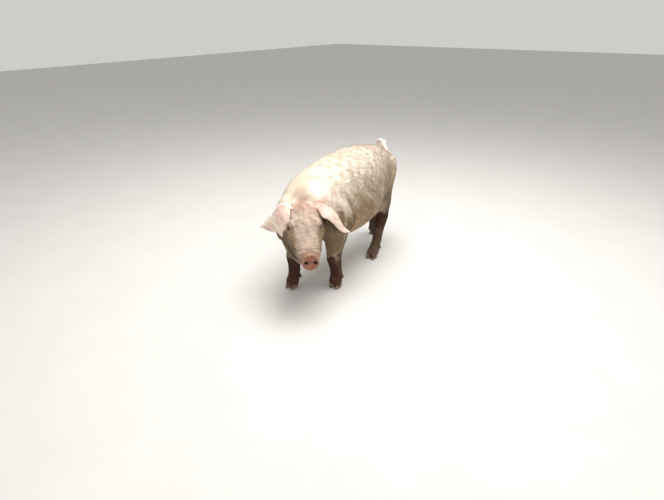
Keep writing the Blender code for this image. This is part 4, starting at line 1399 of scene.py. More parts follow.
def marked_colour(finish, colours):
    """The pattern that skin and coat share: clean skin, flush, dust, stain, crest hair and mud, with painted
    shade in dust, stain and mud and in the creases.
    """
    place = finish.layer("place")
    mud, dust_and_shade, stain_and_shade = finish.parts(finish.layer("dirt_and_shade"))
    pink, crest, shade = finish.parts(finish.layer("flush_and_shade"))
    across, along, height = finish.parts(place)
    broad = finish.noise(place, 13.0, 5.0)
    fine = finish.noise(place, 85.0, 6.0, 0.62)
    slope = math.radians(COAT_SLOPE)
    beside = finish.spread(finish.math("ABSOLUTE", across), 0.06, 0.14)
    face = {0: place, 1: tuple(in_head(*FACE_MIDDLE))}
    on_face = finish.spread(finish.node("ShaderNodeVectorMath", face, 1, operation="DISTANCE"), 0.25, 0.19)
    hairs = []
    for wide, long in STREAKS:
        flank = finish.lying(place, (0.0, math.cos(slope), -math.sin(slope)), (1.0, 0.0, 0.0), wide, long)
        back = finish.lying(place, (0.0, 1.0, 0.0), (1.0, 0.0, 0.0), wide, long)
        head = finish.lying(place, along_head(1, 0, 0), along_head(0, 1, 0), 2.2 * wide, 2.2 * long)
        softer = finish.mixed(0.5, head, 0.5)
        hairs.append(finish.mixed(on_face, finish.mixed(beside, back, flank), softer))
    streak, wisp = hairs

    flushed = finish.plus(pink, finish.around(fine, 0.35))
    colour = finish.blend(finish.spread(flushed, 0.05, 0.95), colours.clean_skin, colours.flushed_skin)

    # Dust, with painted shade towards the bottom of the flanks and on the belly
    swing = finish.plus(finish.around(streak, 1.0), finish.around(wisp, 1.2))
    swing = finish.times(swing, finish.spread(dust_and_shade, 0.05, 0.65, 0.35, 1.0))
    raw = finish.plus(dust_and_shade, swing)
    dusted_and_shaded = finish.times(finish.spread(raw, 0.12, 1.15), finish.spread(dust_and_shade, 0.0, 0.35))
    soil_and_shade = finish.blend(on_face, colours.dust_and_shade, colours.face_dust)
    colour = finish.blend(dusted_and_shaded, colour, soil_and_shade)

    # Olive-brown stain with painted shade on cheeks, chin, chest and hams, and painted shade behind the
    # elbows and by the right eye
    raw = finish.plus(finish.plus(stain_and_shade, finish.around(broad, 0.7)), finish.around(wisp, 0.5))
    stained_and_shaded = finish.times(finish.spread(raw, 0.15, 0.95, 0.0, 0.88), finish.spread(stain_and_shade, 0.0, 0.2))
    colour = finish.blend(stained_and_shaded, colour, colours.stain_and_shade)

    tuft = finish.plus(crest, finish.around(wisp, 2.2))
    brown = finish.times(finish.spread(tuft, 0.25, 1.25, 0.0, 0.60), finish.spread(crest, 0.0, 0.3))
    colour = finish.blend(brown, colour, colours.crest_hair)

    raw = finish.plus(finish.plus(mud, finish.around(broad, 1.1)), finish.around(fine, 1.1))
    muddy = finish.times(finish.spread(raw, 0.20, 0.80), finish.spread(mud, 0.0, 0.15))
    low = finish.times(finish.spread(height, 0.215, 0.165), finish.spread(along, 0.0, 0.05))
    dryness = finish.plus(finish.spread(fine, 0.42, 0.72, 0.0, 0.75), finish.times(low, 0.8), True)
    dried = finish.blend(dryness, colours.wet_mud, colours.dry_mud)
    colour = finish.blend(muddy, colour, dried)
    # Painted shade in creases, nostrils, mouth and lids' edges, and under and inside the ears
    colour = finish.blend(shade, colour, colours.crease_shade)
    return colour, muddy, fine, place


def skin_finish(colours):
    finish = Finish("skin")
    colour, muddy, fine, place = marked_colour(finish, colours)
    snout = finish.layer("snout", "Fac")
    shade = finish.parts(finish.layer("flush_and_shade"))[2]
    grain = finish.noise(place, 420.0, 3.0)
    blotch = finish.spread(finish.noise(place, 52.0, 5.0, 0.65), 0.42, 0.70)
    disc = finish.blend(blotch, colours.snout, colours.snout_dirt)
    bare = finish.times(snout, finish.rest(shade))
    rough = finish.math("SUBTRACT", finish.spread(grain, 0.3, 0.7, 0.50, 0.68), finish.times(snout, 0.16))
    finish.wear({
        "Base Color": finish.blend(bare, colour, disc),
        "Roughness": finish.plus(rough, finish.times(muddy, 0.22)),
        "Subsurface Weight": 0.10,
        "Subsurface Radius": (0.010, 0.004, 0.002),
        "Specular IOR Level": 0.35,
    })
    grid = {"Vector": place, "Scale": 420.0}
    cells = finish.node("ShaderNodeTexVoronoi", grid, feature="DISTANCE_TO_EDGE")
    pores = finish.times(finish.spread(cells, 0.0, 0.12), 0.05)
    height = finish.plus(finish.times(fine, 0.9), pores)
    height = finish.plus(height, finish.times(grain, 0.25))
    height = finish.plus(height, finish.times(finish.times(muddy, fine), 1.6))
    finish.wear({"Normal": finish.bumped(height, 0.55)})
    return finish.material


def coat_finish(colours):
    """Bristles, with the skin's markings at their roots and paler tips."""
    finish = Finish("bristles")
    colour, muddy, fine, _ = marked_colour(finish, colours)
    along, tone, _ = finish.parts(finish.layer("strand"))
    _, dust_and_shade, stain_and_shade = finish.parts(finish.layer("dirt_and_shade"))
    pink, crest, shade = finish.parts(finish.layer("flush_and_shade"))
    pale = finish.blend(finish.spread(tone, 0.0, 1.0), colours.bristle_dark, colours.bristle_light)
    share = finish.spread(along, 0.0, 0.9, 0.22, 0.60)
    # The pale tips give way to the skin's colour where it has mud, dust, stain, crest hair, pink or painted
    # shade
    coverings = ((muddy, 0.98), (dust_and_shade, 0.50), (stain_and_shade, 0.75), (crest, 0.80), (pink, 0.45), (shade, 0.9))
    for covering, strength in coverings:
        share = finish.times(share, finish.rest(finish.times(covering, strength)))
    finish.wear({
        "Base Color": finish.blend(share, colour, pale),
        "Roughness": finish.spread(fine, 0.3, 0.7, 0.42, 0.62),
        "Specular IOR Level": 0.25,
    })
    return finish.material


def eye_finish(colours):
    finish = Finish("eye")
    turned, lift, ring = finish.parts(finish.layer("iris"))
    spokes = {0: finish.times(turned, 7.0), 1: finish.times(lift, 7.0), 2: ring}
    fibre = finish.noise(finish.node("ShaderNodeCombineXYZ", spokes), 3.0, 4.0)
    iris = finish.blend(finish.spread(fibre, 0.35, 0.65), colours.iris_dark, colours.iris_light)
    iris = finish.blend(finish.spread(ring, 0.50, 0.60), iris, colours.iris_dark)
    vein = finish.noise(finish.layer("place"), 900.0, 5.0, 0.7)
    white = finish.blend(finish.spread(vein, 0.5, 0.7), colours.eye_white, colours.flushed_skin)
    colour = finish.blend(finish.spread(ring, 0.58, 0.66), iris, white)
    colour = finish.blend(finish.spread(ring, 0.26, 0.22), colour, (0.004, 0.003, 0.003))
    finish.wear({
        "Base Color": colour,
        "Roughness": 0.08,
        "Coat Weight": 0.4,
        "Specular IOR Level": 0.3,
        "Coat Roughness": 0.02,
    })
    return finish.material


def claw_finish(colours):
    finish = Finish("claw_horn")
    place = finish.layer("place")
    height = finish.parts(place)[2]
    bands = finish.noise(finish.scaled(place, (30.0, 30.0, 700.0)), 1.0, 3.0)
    grain = finish.noise(finish.scaled(place, (900.0, 900.0, 60.0)), 1.0, 3.0)
    horn = finish.blend(finish.spread(bands, 0.35, 0.65), colours.horn_dark, colours.horn_light)
    horn = finish.blend(finish.spread(grain, 0.45, 0.75, 0.0, 0.5), horn, colours.horn_dark)
    cake = finish.noise(place, 70.0, 6.0, 0.65)
    raw = finish.plus(cake, finish.spread(height, 0.0, 0.045, 0.0, 0.12))
    muddy = finish.spread(raw, 0.44, 0.60)
    mud = finish.blend(finish.spread(grain, 0.4, 0.7), colours.wet_mud, colours.dry_mud)
    finish.wear({
        "Base Color": finish.blend(muddy, horn, mud),
        "Roughness": finish.spread(muddy, 0.0, 1.0, 0.38, 0.85),
    })
    relief = finish.plus(finish.times(bands, 0.5), finish.times(muddy, cake))
    finish.wear({"Normal": finish.bumped(relief, 0.5)})
    return finish.material


def floor_finish(stage):
    finish = Finish("stage_floor")
    coordinates = finish.node("ShaderNodeTexCoord", output=3)
    speck = finish.noise(coordinates, 3.0, 3.0)
    pale = tuple(stage.floor_colour)
    colour = finish.blend(finish.spread(speck, 0.3, 0.7), pale, tuple(0.97 * c for c in pale))
    finish.wear({"Base Color": colour, "Roughness": 0.8})
    return finish.material


# Moving onto the solids and hiding the solids that each piece stands for


def offset():
    """From the animal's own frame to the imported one, read off the left eye's box."""
    low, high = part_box("eye_left")
    return (Vector(low) + Vector(high)) / 2 - eye_middle(1)


def finished(piece, material, slot, *nodes):
    """Gives a piece its material, moves it onto the solids and hides the solids that it stands for."""
    piece.data.materials.clear()
    piece.data.materials.append(material)
    piece.data.shade_smooth()
    piece.data.transform(Matrix.Translation(offset()))
    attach(piece, "root")
    if nodes:
        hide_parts(*nodes)
    return piece


# The coat


def lie_of_coat(places, outward, head_part, leg_part, grower):
    """The way that the coat lies: back from the snout, back and down the flanks, down the legs."""
    ahead, left, up = (np.array(axis) for axis in head_axes())
    _, left_place, up_place = head_coordinates(places).T
    trunk = np.tile((0.0, 1.0, 0.0), (len(places), 1))
    trunk[:, 2] = -0.72 * ramp(np.abs(outward[:, 0]), 0.15, 0.8)
    head = -ahead + np.outer(0.25 * np.sign(left_place) * ramp(np.abs(left_place), 0.01, 0.06), left)
    head = head - np.outer(0.45 * ramp(up_place, 0.03, -0.05), up)
    neck = 0.5 * (unit(head) + trunk)
    at_neck = ramp(distance(places, in_head(0, 0, 0)), 0.34, 0.12)[:, None]
    ways = trunk * (1 - at_neck) + neck * at_neck
    ways = ways * (1 - head_part[:, None]) + head * head_part[:, None]
    down = np.tile((0.0, 0.25, -1.0), (len(places), 1))
    ways = ways * (1 - leg_part[:, None]) + down * leg_part[:, None]
    for name in EARS:
        chosen = grower == name
        _, along, wide, _, _, _ = ear_rows(name)
        _, across, near = ear_place(places[chosen], name)
        ways[chosen] = along[near] + 0.4 * across[:, None] * wide[near]
    chosen = grower == "tail"
    path = tail_path()
    near = nearest_of(places[chosen], path)
    ways[chosen] = path[np.minimum(near + 1, len(path) - 1)] - path[np.maximum(near - 1, 0)]
    return square_to(ways, outward)


def bristle_sizes(places, outward, head_part, leg_part, grower):
    """Length, width and lift of the bristles at each point, and how close they grow."""
    forward, left, up = head_coordinates(places).T
    belly = ramp(-outward[:, 2], 0.2, 0.8)
    length = 0.026 + 0.006 * ramp(outward[:, 2], 0.3, 0.9) - 0.006 * belly
    width = np.full(len(places), 0.00062)
    lift = np.full(len(places), 0.075)
    close = 1.0 - 0.45 * belly
    muzzle = ramp(forward, 0.10, 0.27)
    length += (0.012 - 0.0065 * muzzle - length) * head_part
    width += (0.00042 - 0.00012 * muzzle - width) * head_part
    close += (1.5 + 1.2 * muzzle - close) * head_part
    foot = ramp(places[:, 2], 0.14, 0.04)
    length += (0.015 - 0.007 * foot - length) * leg_part
    width += (0.00052 - 0.00010 * foot - width) * leg_part
    close += (1.5 - close) * leg_part
    crest = bump(left, 0.05) * ramp(up, 0.02, 0.06) * ramp(forward, 0.09, 0.0) * ramp(forward, -0.30, -0.10)
    length += 0.012 * crest
    lift += 0.10 * crest
    for name in EARS:
        here = grower == name
        rim = ramp(np.abs(ear_place(places[here], name)[1]), 0.80, 0.97)
        length[here] = 0.0075 - 0.0035 * rim
        lift[here] = 0.055 - 0.035 * rim
        width[here] = 0.00036
        close[here] = 1.9
    on_tail = grower == "tail"
    length[on_tail] = 0.011
    width[on_tail] = 0.0004
    close[on_tail] = 2.2
    eyes = np.minimum(*(distance(places, eye_middle(side)) for side in (1, -1)))
    close *= ramp(eyes, 0.0155, 0.022)
    disc = snout_coordinates(places)
    close *= np.maximum(ramp(np.linalg.norm(disc, axis=1), 0.058, 0.064), ramp(disc[:, 2], -0.017, -0.022))
    close *= ramp(places[:, 2], 0.026, 0.036) * (grower != "teat")
    return length, width, lift, close


def laid(tips, ground):
    """The tips brought to the skin, so that bristles follow its hollows and swellings."""
    shift = np.array(offset())
    made = tips.copy()
    for index, tip in enumerate(tips + shift):
        near = ground.find_nearest(Vector(tip), BRISTLE_REACH)[0]
        if near is not None:
            made[index] = np.array(near) - shift
    return made


def tufts(name, roots, outward, ways, sizes, tones, dirt_and_shade, flush_and_shade, chart, ground=None):
    """Thin three-sided spikes as one mesh, each closed and mapped to a small patch at its root's place."""
    length, width, lift = sizes
    count = len(roots)
    half = (width * 0.5)[:, None] * np.cross(outward, ways)
    sunk = roots - outward * np.minimum(0.0012, 0.25 * length)[:, None]
    tips = roots + ways * length[:, None]
    if ground is not None:
        tips = laid(tips, ground)
    tips += outward * (lift * length)[:, None]
    points = np.stack([sunk + half, sunk - half, sunk + width[:, None] * outward, tips], 1)
    spike = np.array(((0, 2, 1), (0, 1, 3), (1, 2, 3), (2, 0, 3)))
    faces = (spike[None] + 4 * np.arange(count)[:, None, None]).ravel()
    mesh = bpy.data.meshes.new(name)
    mesh.vertices.add(4 * count)
    mesh.vertices.foreach_set("co", points.astype(np.float32).ravel())
    mesh.loops.add(len(faces))
    mesh.loops.foreach_set("vertex_index", faces.astype(np.int32))
    mesh.polygons.add(len(faces) // 3)
    mesh.polygons.foreach_set("loop_start", np.arange(0, len(faces), 3, dtype=np.int32))
    mesh.update(calc_edges=True)
    flat = np.array(((-0.5, -0.5), (0.5, -0.5), (0.0, -0.2), (0.0, 0.5))) * PATCH
    patch = (chart[:, None, :] + flat[None]).reshape(-1, 2)
    mesh.uv_layers.new(name="OFBake")
    mesh.uv_layers["OFBake"].data.foreach_set("uv", patch[faces].astype(np.float32).ravel())
    for layer, values in (("place", roots), ("dirt_and_shade", dirt_and_shade), ("flush_and_shade", flush_and_shade)):
        vector_layer(mesh, layer, np.repeat(values, 4, axis=0))
    strand = np.zeros((count, 4, 3))
    strand[:, 3, 0] = 1.0
    strand[:, :, 1] = tones[:, None]
    vector_layer(mesh, "strand", strand.reshape(-1, 3))
    mesh.validate()
    return linked(name, mesh)


def charted(first, second):
    """Two measures of each root's place on the skin, spread over the map."""
    made = np.stack([first, second], 1)
    low, high = made.min(0), made.max(0)
    return 0.01 + 0.98 * (made - low) / np.maximum(high - low, 1e-9)


def skin_chart(places, outward, grower, legs, which, around, head_part):
    """An unwrap of the skin's own shape: round and along the trunk, the head, each leg, ear and the tail."""
    forward, left, up = head_coordinates(places).T
    across = np.arctan2(places[:, 0], places[:, 2] - TRUNK_AXIS_HEIGHT)
    along = places[:, 1].copy()
    chosen = head_part > 0.5
    across[chosen] = np.arctan2(left, up + 0.03)[chosen]
    along[chosen] = forward[chosen]
    chosen = legs > 0.5
    across[chosen] = (which * 7.0 + np.arctan2(around[:, 0], around[:, 1]))[chosen]
    along[chosen] = places[chosen, 2]
    for index, name in enumerate(EARS):
        chosen = grower == name
        along[chosen], across[chosen], near = ear_place(places[chosen], name)
        inner = np.sum(outward[chosen] * ear_rows(name)[3][near], axis=1) < 0
        across[chosen] += 2.5 * (2 * index + inner)
    chosen = grower == "tail"
    path = tail_path()
    near = nearest_of(places[chosen], path)
    away = places[chosen] - path[near]
    across[chosen] = np.arctan2(away[:, 1], away[:, 2])
    along[chosen] = near
    return across, along


def piece_names(places, grower, legs, head_part):
    """Which coat piece each bristle belongs to."""
    hand = np.where(places[:, 0] > 0, "left", "right")
    bounds = [places[:, 1] < -0.19, places[:, 1] < 0.03, places[:, 1] < 0.25]
    length = np.select(bounds, ["shoulder", "chest", "barrel"], "rump")
    names = np.char.add(np.char.add("coat_", length), np.char.add("_", hand))
    face_hand = np.where(head_coordinates(places)[:, 1] > 0, "left", "right")
    names = np.where(head_part > 0.5, np.char.add("coat_head_", face_hand), names)
    names = np.where(legs > 0.5, np.where(places[:, 1] < 0, "coat_forelegs", "coat_hind_legs"), names)
    names = np.where(np.isin(grower, list(EARS)), "coat_ears", names)
    return np.where(grower == "tail", "coat_tail", names)


def growers(skin):
    """The name of what each of the skin's points grows on, beyond the body itself."""
    owner = np.empty(len(skin.data.vertices), np.float32)
    skin.data.attributes["owner"].data.foreach_get("value", owner)
    return np.array(GROWERS)[np.round(owner).astype(int)]


def sown(skin, count, draw):
    """Roots drawn over the skin, more where bristles grow close: the corners of their faces and shares."""
    mesh = skin.data
    mesh.calc_loop_triangles()
    corners = np.empty(len(mesh.loop_triangles) * 3, np.int32)
    mesh.loop_triangles.foreach_get("vertices", corners)
    corners = corners.reshape(-1, 3)
    places = read_layer(mesh, "place").astype(float)
    grower = growers(skin)
    on_body = np.isin(grower, ("", "teat"))
    parts = (face_share(places) * on_body, leg_share(places)[0] * on_body)
    close = bristle_sizes(places, outward_of(skin), *parts, grower)[3]
    first, second, third = (places[corners[:, i]] for i in range(3))
    area = np.linalg.norm(np.cross(second - first, third - first), axis=1) / 2
    weight = area * close[corners].mean(1)
    chosen = draw.choice(len(corners), count, p=weight / weight.sum())
    mix = draw.random((count, 2))
    mix[mix.sum(1) > 1] = 1 - mix[mix.sum(1) > 1]
    return corners[chosen], np.stack([1 - mix.sum(1), mix[:, 0], mix[:, 1]], 1)


def at_roots(values, corners, shares):
    """The skin's values at the roots."""
    return np.einsum("ij,ijk->ik", shares, values[corners])


def swirled(ways, roots, up, draw):
    """The lie of the coat with soft whirls in it, and each bristle a little off it."""
    turn = 0.10 * ripple(roots, 0.060, 31) + draw.normal(0, 0.11, len(roots))
    return ways * np.cos(turn)[:, None] + np.cross(up, ways) * np.sin(turn)[:, None]


def grown_sizes(coat, usual, on_muzzle, draw):
    """Each bristle's own length, width and lift, with a few long and stiff ones on the muzzle."""
    length, width, lift = usual
    count = len(length)
    length = length * coat.length * draw.uniform(0.65, 1.2, count)
    width = width * coat.width * draw.uniform(0.7, 1.25, count)
    lift = lift * draw.uniform(0.5, 1.7, count)
    stiff = (draw.random(count) < coat.whiskers) & on_muzzle
    length[stiff] = draw.uniform(0.014, 0.030, stiff.sum())
    width[stiff] = 0.0005
    lift[stiff] = draw.uniform(0.35, 0.9, stiff.sum())
    return length, width, lift


# Settings


def colour_setting(name, description, *default):
    """A colour that a user may change, its default in linear red, green and blue."""
    return FloatVectorProperty(name=name, description=description, default=default, size=3, subtype="COLOR")


class PigShape(bpy.types.PropertyGroup):
    """Sizes of the skin."""

    coat_depth: FloatProperty(
        name="Coat depth", description="How far the skin lies inside the solids on the trunk",
        default=0.0035, min=0, max=0.02, subtype="DISTANCE", unit="LENGTH",
    )
    skin_voxel: FloatProperty(
        name="Skin fineness", description="Size of the skin's faces on the trunk",
        default=0.0087, min=0.004, max=0.02, subtype="DISTANCE", unit="LENGTH",
    )


class PigColours(bpy.types.PropertyGroup):
    """Colours of skin, dirt, painted shade, bristles, eyes and horn."""

    clean_skin: colour_setting("Clean skin", "Pale skin of the back", 0.90, 0.81, 0.70)
    flushed_skin: colour_setting("Flushed skin", "Pink skin of the ears, eyes and belly", 0.72, 0.40, 0.33)
    snout: colour_setting("Snout", "Salmon skin of the snout's disc", 0.27, 0.108, 0.056)
    snout_dirt: colour_setting("Snout dirt", "Soil rubbed into the disc", 0.12, 0.050, 0.024)
    # Colour of the dust and of the painted shade on the lower flanks and belly
    dust_and_shade: colour_setting("Dust", "Dry soil on the flanks", 0.38, 0.243, 0.118)
    face_dust: colour_setting("Face dust", "Greyer soil rubbed into the face", 0.25, 0.182, 0.132)
    stain_and_shade: colour_setting("Stain", "Olive-brown stain on cheek and shoulder", 0.160, 0.108, 0.048)
    crest_hair: colour_setting("Crest hair", "Brown hair between the ears", 0.40, 0.24, 0.13)
    # Also painted up the thighs, where it stands for mud and painted shade together
    wet_mud: colour_setting("Wet mud", "Dark mud on the legs", 0.056, 0.0135, 0.0045)
    # Colour of the stain and of the painted shade on cheeks, chin, chest, hams, the elbows' folds and by the
    # right eye
    dry_mud: colour_setting("Dry mud", "Drier, paler mud", 0.102, 0.064, 0.040)
    # Colour of the painted shade in nostrils, mouth, the creases round the snout, the lids' edges, and under
    # and inside the ears
    crease_shade: colour_setting("Creases", "Dark skin in the nostrils, lips and lid edges", 0.055, 0.024, 0.018)
    bristle_light: colour_setting("Light bristles", "Pale bristles", 0.94, 0.89, 0.78)
    bristle_dark: colour_setting("Dark bristles", "Duller bristles among them", 0.57, 0.40, 0.225)
    iris_light: colour_setting("Light iris", "Fibres of the iris", 0.16, 0.085, 0.035)
    iris_dark: colour_setting("Dark iris", "Rim of the iris", 0.030, 0.016, 0.009)
    eye_white: colour_setting("Eye white", "White of the eye", 0.62, 0.53, 0.46)
    horn_light: colour_setting("Light horn", "Pale horn of the claws", 0.36, 0.27, 0.18)
    horn_dark: colour_setting("Dark horn", "Dark horn of the claws", 0.11, 0.075, 0.048)


class PigCoat(bpy.types.PropertyGroup):
    """Sizes and number of the bristles."""

    bristles: IntProperty(
        name="Bristles", description="How many bristles cover the animal",
        default=350000, min=1000, max=375000,
    )
    length: FloatProperty(
        name="Length", description="Length of the bristles against the usual",
        default=1.0, min=0.2, max=3, subtype="FACTOR",
    )
    width: FloatProperty(
        name="Width", description="Width of the bristles against the usual",
        default=1.0, min=0.2, max=3, subtype="FACTOR",
    )
    whiskers: FloatProperty(
        name="Whiskers", description="Share of the muzzle's bristles that grow long and stiff",
        default=0.013, min=0, max=0.2, subtype="FACTOR",
    )
    lashes: IntProperty(name="Lashes", description="Lashes on each upper lid", default=34, min=1, max=80)


class PigStage(bpy.types.PropertyGroup):
    """Floor, lights and camera."""

    floor_colour: colour_setting("Floor", "Pale floor", 0.62, 0.61, 0.59)
    key_power: FloatProperty(
        name="Key light", description="Power of the large light overhead",
        default=165.0, min=0, unit="POWER",
    )
    ambient: FloatProperty(
        name="Ambient light", description="Strength of the light from all round",
        default=0.62, min=0,
    )
    focal: FloatProperty(
        name="Focal length", description="The camera's focal length in pixels of the picture",
        default=500.0, min=50,
    )


# Making the pieces and the stage


class PIG_OT_skin(bpy.types.Operator):
    """Draw one skin over trunk, head, ears, legs and tail"""

    bl_idname = "pig.skin"
    bl_label = "Skin"

    def execute(self, context):
        skin = moulded_body(context.scene.pig_shape)
        combined(skin, face_openings(), "DIFFERENCE")
        body_surface = surface_of(skin)
        nipples = [under for under, _ in teat_places(body_surface)]
        leaves = {name: ear(name) for name in EARS}
        leaves["tail"] = tail()
        surfaces = {name: surface_of(leaf) for name, leaf in leaves.items()}
        combined(skin, [*leaves.values(), *teats(body_surface)], "UNION")
        owner, join = grown_on(points_of(skin), body_surface, surfaces, nipples)
        softened(skin, join, 12)
        marked(skin, owner)
        skin.name = "skin"
        finished(skin, skin_finish(context.scene.pig_colours), "skin", *FLESH_NODES)
        return {"FINISHED"}


def eyeball(side, name):
    """An eye with a bulging cornea, and the measures that its iris is drawn from."""
    turn = np.array(look_turn(side))
    rings, marks = [], []
    for tilt in np.linspace(0.02, math.pi - 0.02, EYE_RINGS):
        radius = EYE_RADIUS * (1 + CORNEA_RISE * float(bump(np.array(tilt), 0.42))) - 0.0002
        ring = []
        for way in np.linspace(0, 2 * math.pi, EYE_RINGS, endpoint=False):
            across, up = math.cos(way), math.sin(way)
            out = np.array((math.sin(tilt) * across, math.sin(tilt) * up, math.cos(tilt)))
            ring.append(np.array(eye_middle(side)) + turn @ (out * radius))
            marks.append((across, up, math.sin(tilt) if tilt < math.pi / 2 else 1.0))
        rings.append(np.array(ring))
    eye = loft(rings, name)
    vector_layer(eye.data, "iris", marks)
    vector_layer(eye.data, "place", points_of(eye))
    return eye


class PIG_OT_eyes(bpy.types.Operator):
    """Make both eyes with cornea, iris and pupil"""

    bl_idname = "pig.eyes"
    bl_label = "Eyes"

    def execute(self, context):
        material = eye_finish(context.scene.pig_colours)
        for side, hand in ((1, "left"), (-1, "right")):
            finished(eyeball(side, f"eyeball_{hand}"), material, "eyes", f"eye_{hand}")
        return {"FINISHED"}


def claw(centre, splay, name):
    """A walking claw with growth rings and a flat sole."""
    rings = []
    turn = np.array(Matrix.Rotation(-splay, 3, "Z"))
    about = np.array(centre)
    for height, ahead, behind, half_width in catmull_rom(CLAW_SECTIONS, 8):
        ridge = 0.98 + 0.012 * math.sin(height * 900)
        middle = centre + Vector((0, 0, max(height, 0)))
        spans = (half_width * ridge, behind * ridge, ahead * ridge)
        ring = section_ring(middle, (1, 0, 0), (0, 1, 0), *spans, points=40)
        rings.append((ring - about) @ turn.T + about)
    return loft(rings, name)


def dew_claw(out, root, name):
    way = Vector((out * 0.25, 0.45, -1)).normalized()
    across = way.cross(Vector((0, 1, 0))).normalized()
    rings = []
    for up, radius in catmull_rom(DEW_CLAW_SECTIONS, 7):
        radius *= 0.97 + 0.015 * math.sin(up * 1500)
        centre = root - way * up
        rings.append(section_ring(centre, across, way.cross(across), radius, radius, radius, points=24))
    return loft(rings, name)


class PIG_OT_claws(bpy.types.Operator):
    """Make the eight walking claws and the eight dew claws"""

    bl_idname = "pig.claws"
    bl_label = "Claws"

    def execute(self, context):
        material = claw_finish(context.scene.pig_colours)
        for end, hand, side, feet_place, stride, inset in feet():
            foot = Vector((side * (FOOT_OUT - inset), feet_place - CLAW_AHEAD + stride, 0))
            share = swing(DEW_CLAW_HEIGHT, stride)
            behind = feet_place + DEW_CLAW_BEHIND + stride * share
            heel = Vector((side * (FOOT_OUT - inset * share), behind, DEW_CLAW_HEIGHT))
            for toe, place in ((1, "outer"), (-1, "inner")):
                out = side * toe
                name = f"{end}_{hand}_{place}"
                centre = foot + Vector((out * CLAW_SPACING, 0, 0))
                root = heel + Vector((out * DEW_CLAW_SPACING, 0, 0))
                walking = claw(centre, -math.radians(CLAW_SPLAY) * out, f"hoof_{name}")
                dew = dew_claw(out, root, f"dew_hoof_{name}")
                for item, node in ((walking, f"claw_{name}"), (dew, f"dewclaw_{name}")):
                    vector_layer(item.data, "place", points_of(item))
                    finished(item, material, "claws", node)
        return {"FINISHED"}


class PIG_OT_coat(bpy.types.Operator):
    """Grow the bristle coat over the skin"""

    bl_idname = "pig.coat"
    bl_label = "Coat"

    def execute(self, context):
        coat = context.scene.pig_coat
        skin = bpy.data.objects["skin"]
        draw = np.random.default_rng(COAT_SEED)
        corners, shares = sown(skin, coat.bristles, draw)
        roots = at_roots(read_layer(skin.data, "place").astype(float), corners, shares)
        up = unit(at_roots(outward_of(skin), corners, shares))
        dirt_and_shade, flush_and_shade = (at_roots(read_layer(skin.data, name), corners, shares) for name in ("dirt_and_shade", "flush_and_shade"))
        grower = growers(skin)[corners[:, 0]]
        on_body = grower == ""
        head_part = face_share(roots) * on_body
        leg_part, which, around = leg_share(roots)
        leg_part = leg_part * on_body
        ways = swirled(lie_of_coat(roots, up, head_part, leg_part, grower), roots, up, draw)
        forward, _, high = head_coordinates(roots).T
        on_muzzle = (head_part > 0.5) & (forward > 0.16) & (high < 0.01)
        usual = bristle_sizes(roots, up, head_part, leg_part, grower)[:3]
        sizes = grown_sizes(coat, usual, on_muzzle, draw)
        tones = np.clip(0.85 * draw.random(coat.bristles) + 0.15 * ripple(roots, 0.03, 32), 0, 1)
        across, along = skin_chart(roots, up, grower, leg_part, which, around, head_part)
        pieces = piece_names(roots, grower, leg_part, head_part)
        material = coat_finish(context.scene.pig_colours)
        ground = surface_of(skin)
        for name in np.unique(pieces):
            here = pieces == name
            if here.sum() > MOST_IN_A_PIECE:
                raise RuntimeError(f"{name} has {here.sum()} bristles, over {MOST_IN_A_PIECE}")
            lies = [values[here] for values in (roots, up, ways)]
            marks = [values[here] for values in (tones, dirt_and_shade, flush_and_shade)]
            chart = charted(across[here], along[here])
            made = tufts(str(name), *lies, [size[here] for size in sizes], *marks, chart, ground)
            finished(made, material, "skin")
        return {"FINISHED"}


class PIG_OT_lashes(bpy.types.Operator):
    """Set the pale lashes along both upper lids"""

    bl_idname = "pig.lashes"
    bl_label = "Lashes"

    def execute(self, context):
        count = context.scene.pig_coat.lashes
        places = read_layer(bpy.data.objects["skin"].data, "place").astype(float)
        draw = np.random.default_rng(LASH_SEED)
        roots, ups, ways = [], [], []
        for side in (1, -1):
            turn = np.array(look_turn(side))
            local = eye_coordinates(places, side)
            for angle in np.radians(np.linspace(*LASH_CORNERS, count)):
                rim = (LASH_LINE[0] * math.cos(angle), LASH_LINE[1] * math.sin(angle))
                off = np.hypot(local[:, 0] - rim[0], local[:, 1] - rim[1]) + (local[:, 2] < 0)
                roots.append(places[int(np.argmin(off))])
                fan = draw.normal(0, LASH_FAN)
                rise = 0.35 + 0.45 * math.sin(angle)
                way = np.array((0.55 * math.cos(angle) + fan, -side * rise, 0.75))
                ways.append(turn @ (way / np.linalg.norm(way)))
                ups.append(turn @ np.array((0.0, -side * 0.75, -0.66)))
        roots, ways = np.array(roots), np.array(ways)
        total = len(roots)
        sizes = (draw.uniform(*LASH_LENGTHS, total), np.full(total, LASH_WIDTH), np.full(total, 0.10))
        chart = charted(np.arange(total) % count, np.arange(total) // count)
        plain = np.tile((0.0, 0.6, 0.0), (total, 1))
        ups = square_to(np.array(ups), ways)
        made = tufts("lashes", roots, ups, ways, sizes, draw.random(total), plain, 0 * plain, chart)
        finished(made, bpy.data.materials["bristles"], "skin")
        return {"FINISHED"}


def studio_light(name, place, target, size, power, colour):
    """A soft square light that looks at a target."""
    light = linked(name, bpy.data.lights.new(name, "AREA"))
    light.data.energy = power
    light.data.size = size
    light.data.color = colour
    light.location = place
    light.rotation_mode = "QUATERNION"
    light.rotation_quaternion = (Vector(target) - Vector(place)).to_track_quat("-Z", "Y")


def studio_world(ambient):
    world = bpy.data.worlds.new("studio")
    world.use_nodes = True
    background = world.node_tree.nodes["Background"]
    background.inputs["Color"].default_value = (*SKY_COLOUR, 1)
    background.inputs["Strength"].default_value = ambient
    return world


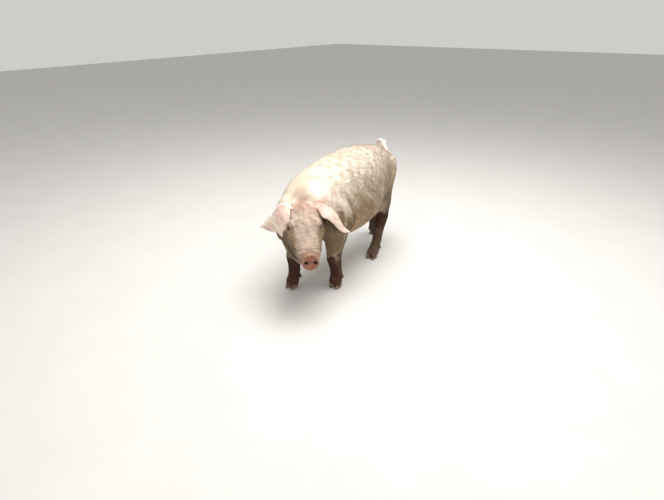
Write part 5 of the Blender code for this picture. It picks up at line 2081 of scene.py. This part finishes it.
def studio_camera(focal):
    camera = linked("camera", bpy.data.cameras.new("camera"))
    camera.data.sensor_width = SENSOR_WIDTH
    camera.data.lens = focal / FRAME_WIDTH * SENSOR_WIDTH
    camera.location = Vector(CAMERA_PLACE) + offset()
    camera.rotation_mode = "XYZ"
    camera.rotation_euler = (math.radians(90 - CAMERA_DIP), 0, math.radians(CAMERA_TURN))
    return camera


class PIG_OT_stage(bpy.types.Operator):
    """Set up the floor, the soft lights and the camera"""

    bl_idname = "pig.stage"
    bl_label = "Stage"

    def execute(self, context):
        stage = context.scene.pig_stage
        floor = mesh_object("stage_floor", FLOOR_CORNERS, [(0, 1, 2, 3)])
        floor.data.materials.append(floor_finish(stage))
        context.scene.world = studio_world(stage.ambient)
        context.scene.view_settings.view_transform = "Standard"
        for name, light in LIGHTS.items():
            studio_light(name, *light[:3], light[3] * stage.key_power, light[4])
        context.scene.camera = studio_camera(stage.focal)
        return {"FINISHED"}


# The panel, and running it all


class PIG_PT_parts(bpy.types.Panel):
    """Lists the pig's parts and their settings"""

    bl_idname = "PIG_PT_parts"
    bl_label = "Pig"
    bl_space_type = "VIEW_3D"
    bl_region_type = "UI"
    bl_category = "Pig"

    def draw(self, context):
        for settings in ("pig_shape", "pig_colours", "pig_coat", "pig_stage"):
            group = getattr(context.scene, settings)
            box = self.layout.box()
            for name in group.__annotations__:
                box.prop(group, name)
        for operator in OPERATORS:
            self.layout.operator(operator.bl_idname)


SETTINGS = {"pig_shape": PigShape, "pig_colours": PigColours, "pig_coat": PigCoat, "pig_stage": PigStage}
OPERATORS = (PIG_OT_skin, PIG_OT_eyes, PIG_OT_claws, PIG_OT_coat, PIG_OT_lashes, PIG_OT_stage)


def register():
    for group in (*SETTINGS.values(), *OPERATORS, PIG_PT_parts):
        bpy.utils.register_class(group)
    for name, group in SETTINGS.items():
        setattr(bpy.types.Scene, name, PointerProperty(type=group))


def unregister():
    for name in SETTINGS:
        delattr(bpy.types.Scene, name)
    for group in (PIG_PT_parts, *reversed(OPERATORS), *SETTINGS.values()):
        bpy.utils.unregister_class(group)


def main():
    register()
    bpy.ops.pig.skin()
    bpy.ops.pig.eyes()
    bpy.ops.pig.claws()
    bpy.ops.pig.coat()
    bpy.ops.pig.lashes()
    bpy.ops.pig.stage()


if __name__ == "__main__":
    main()
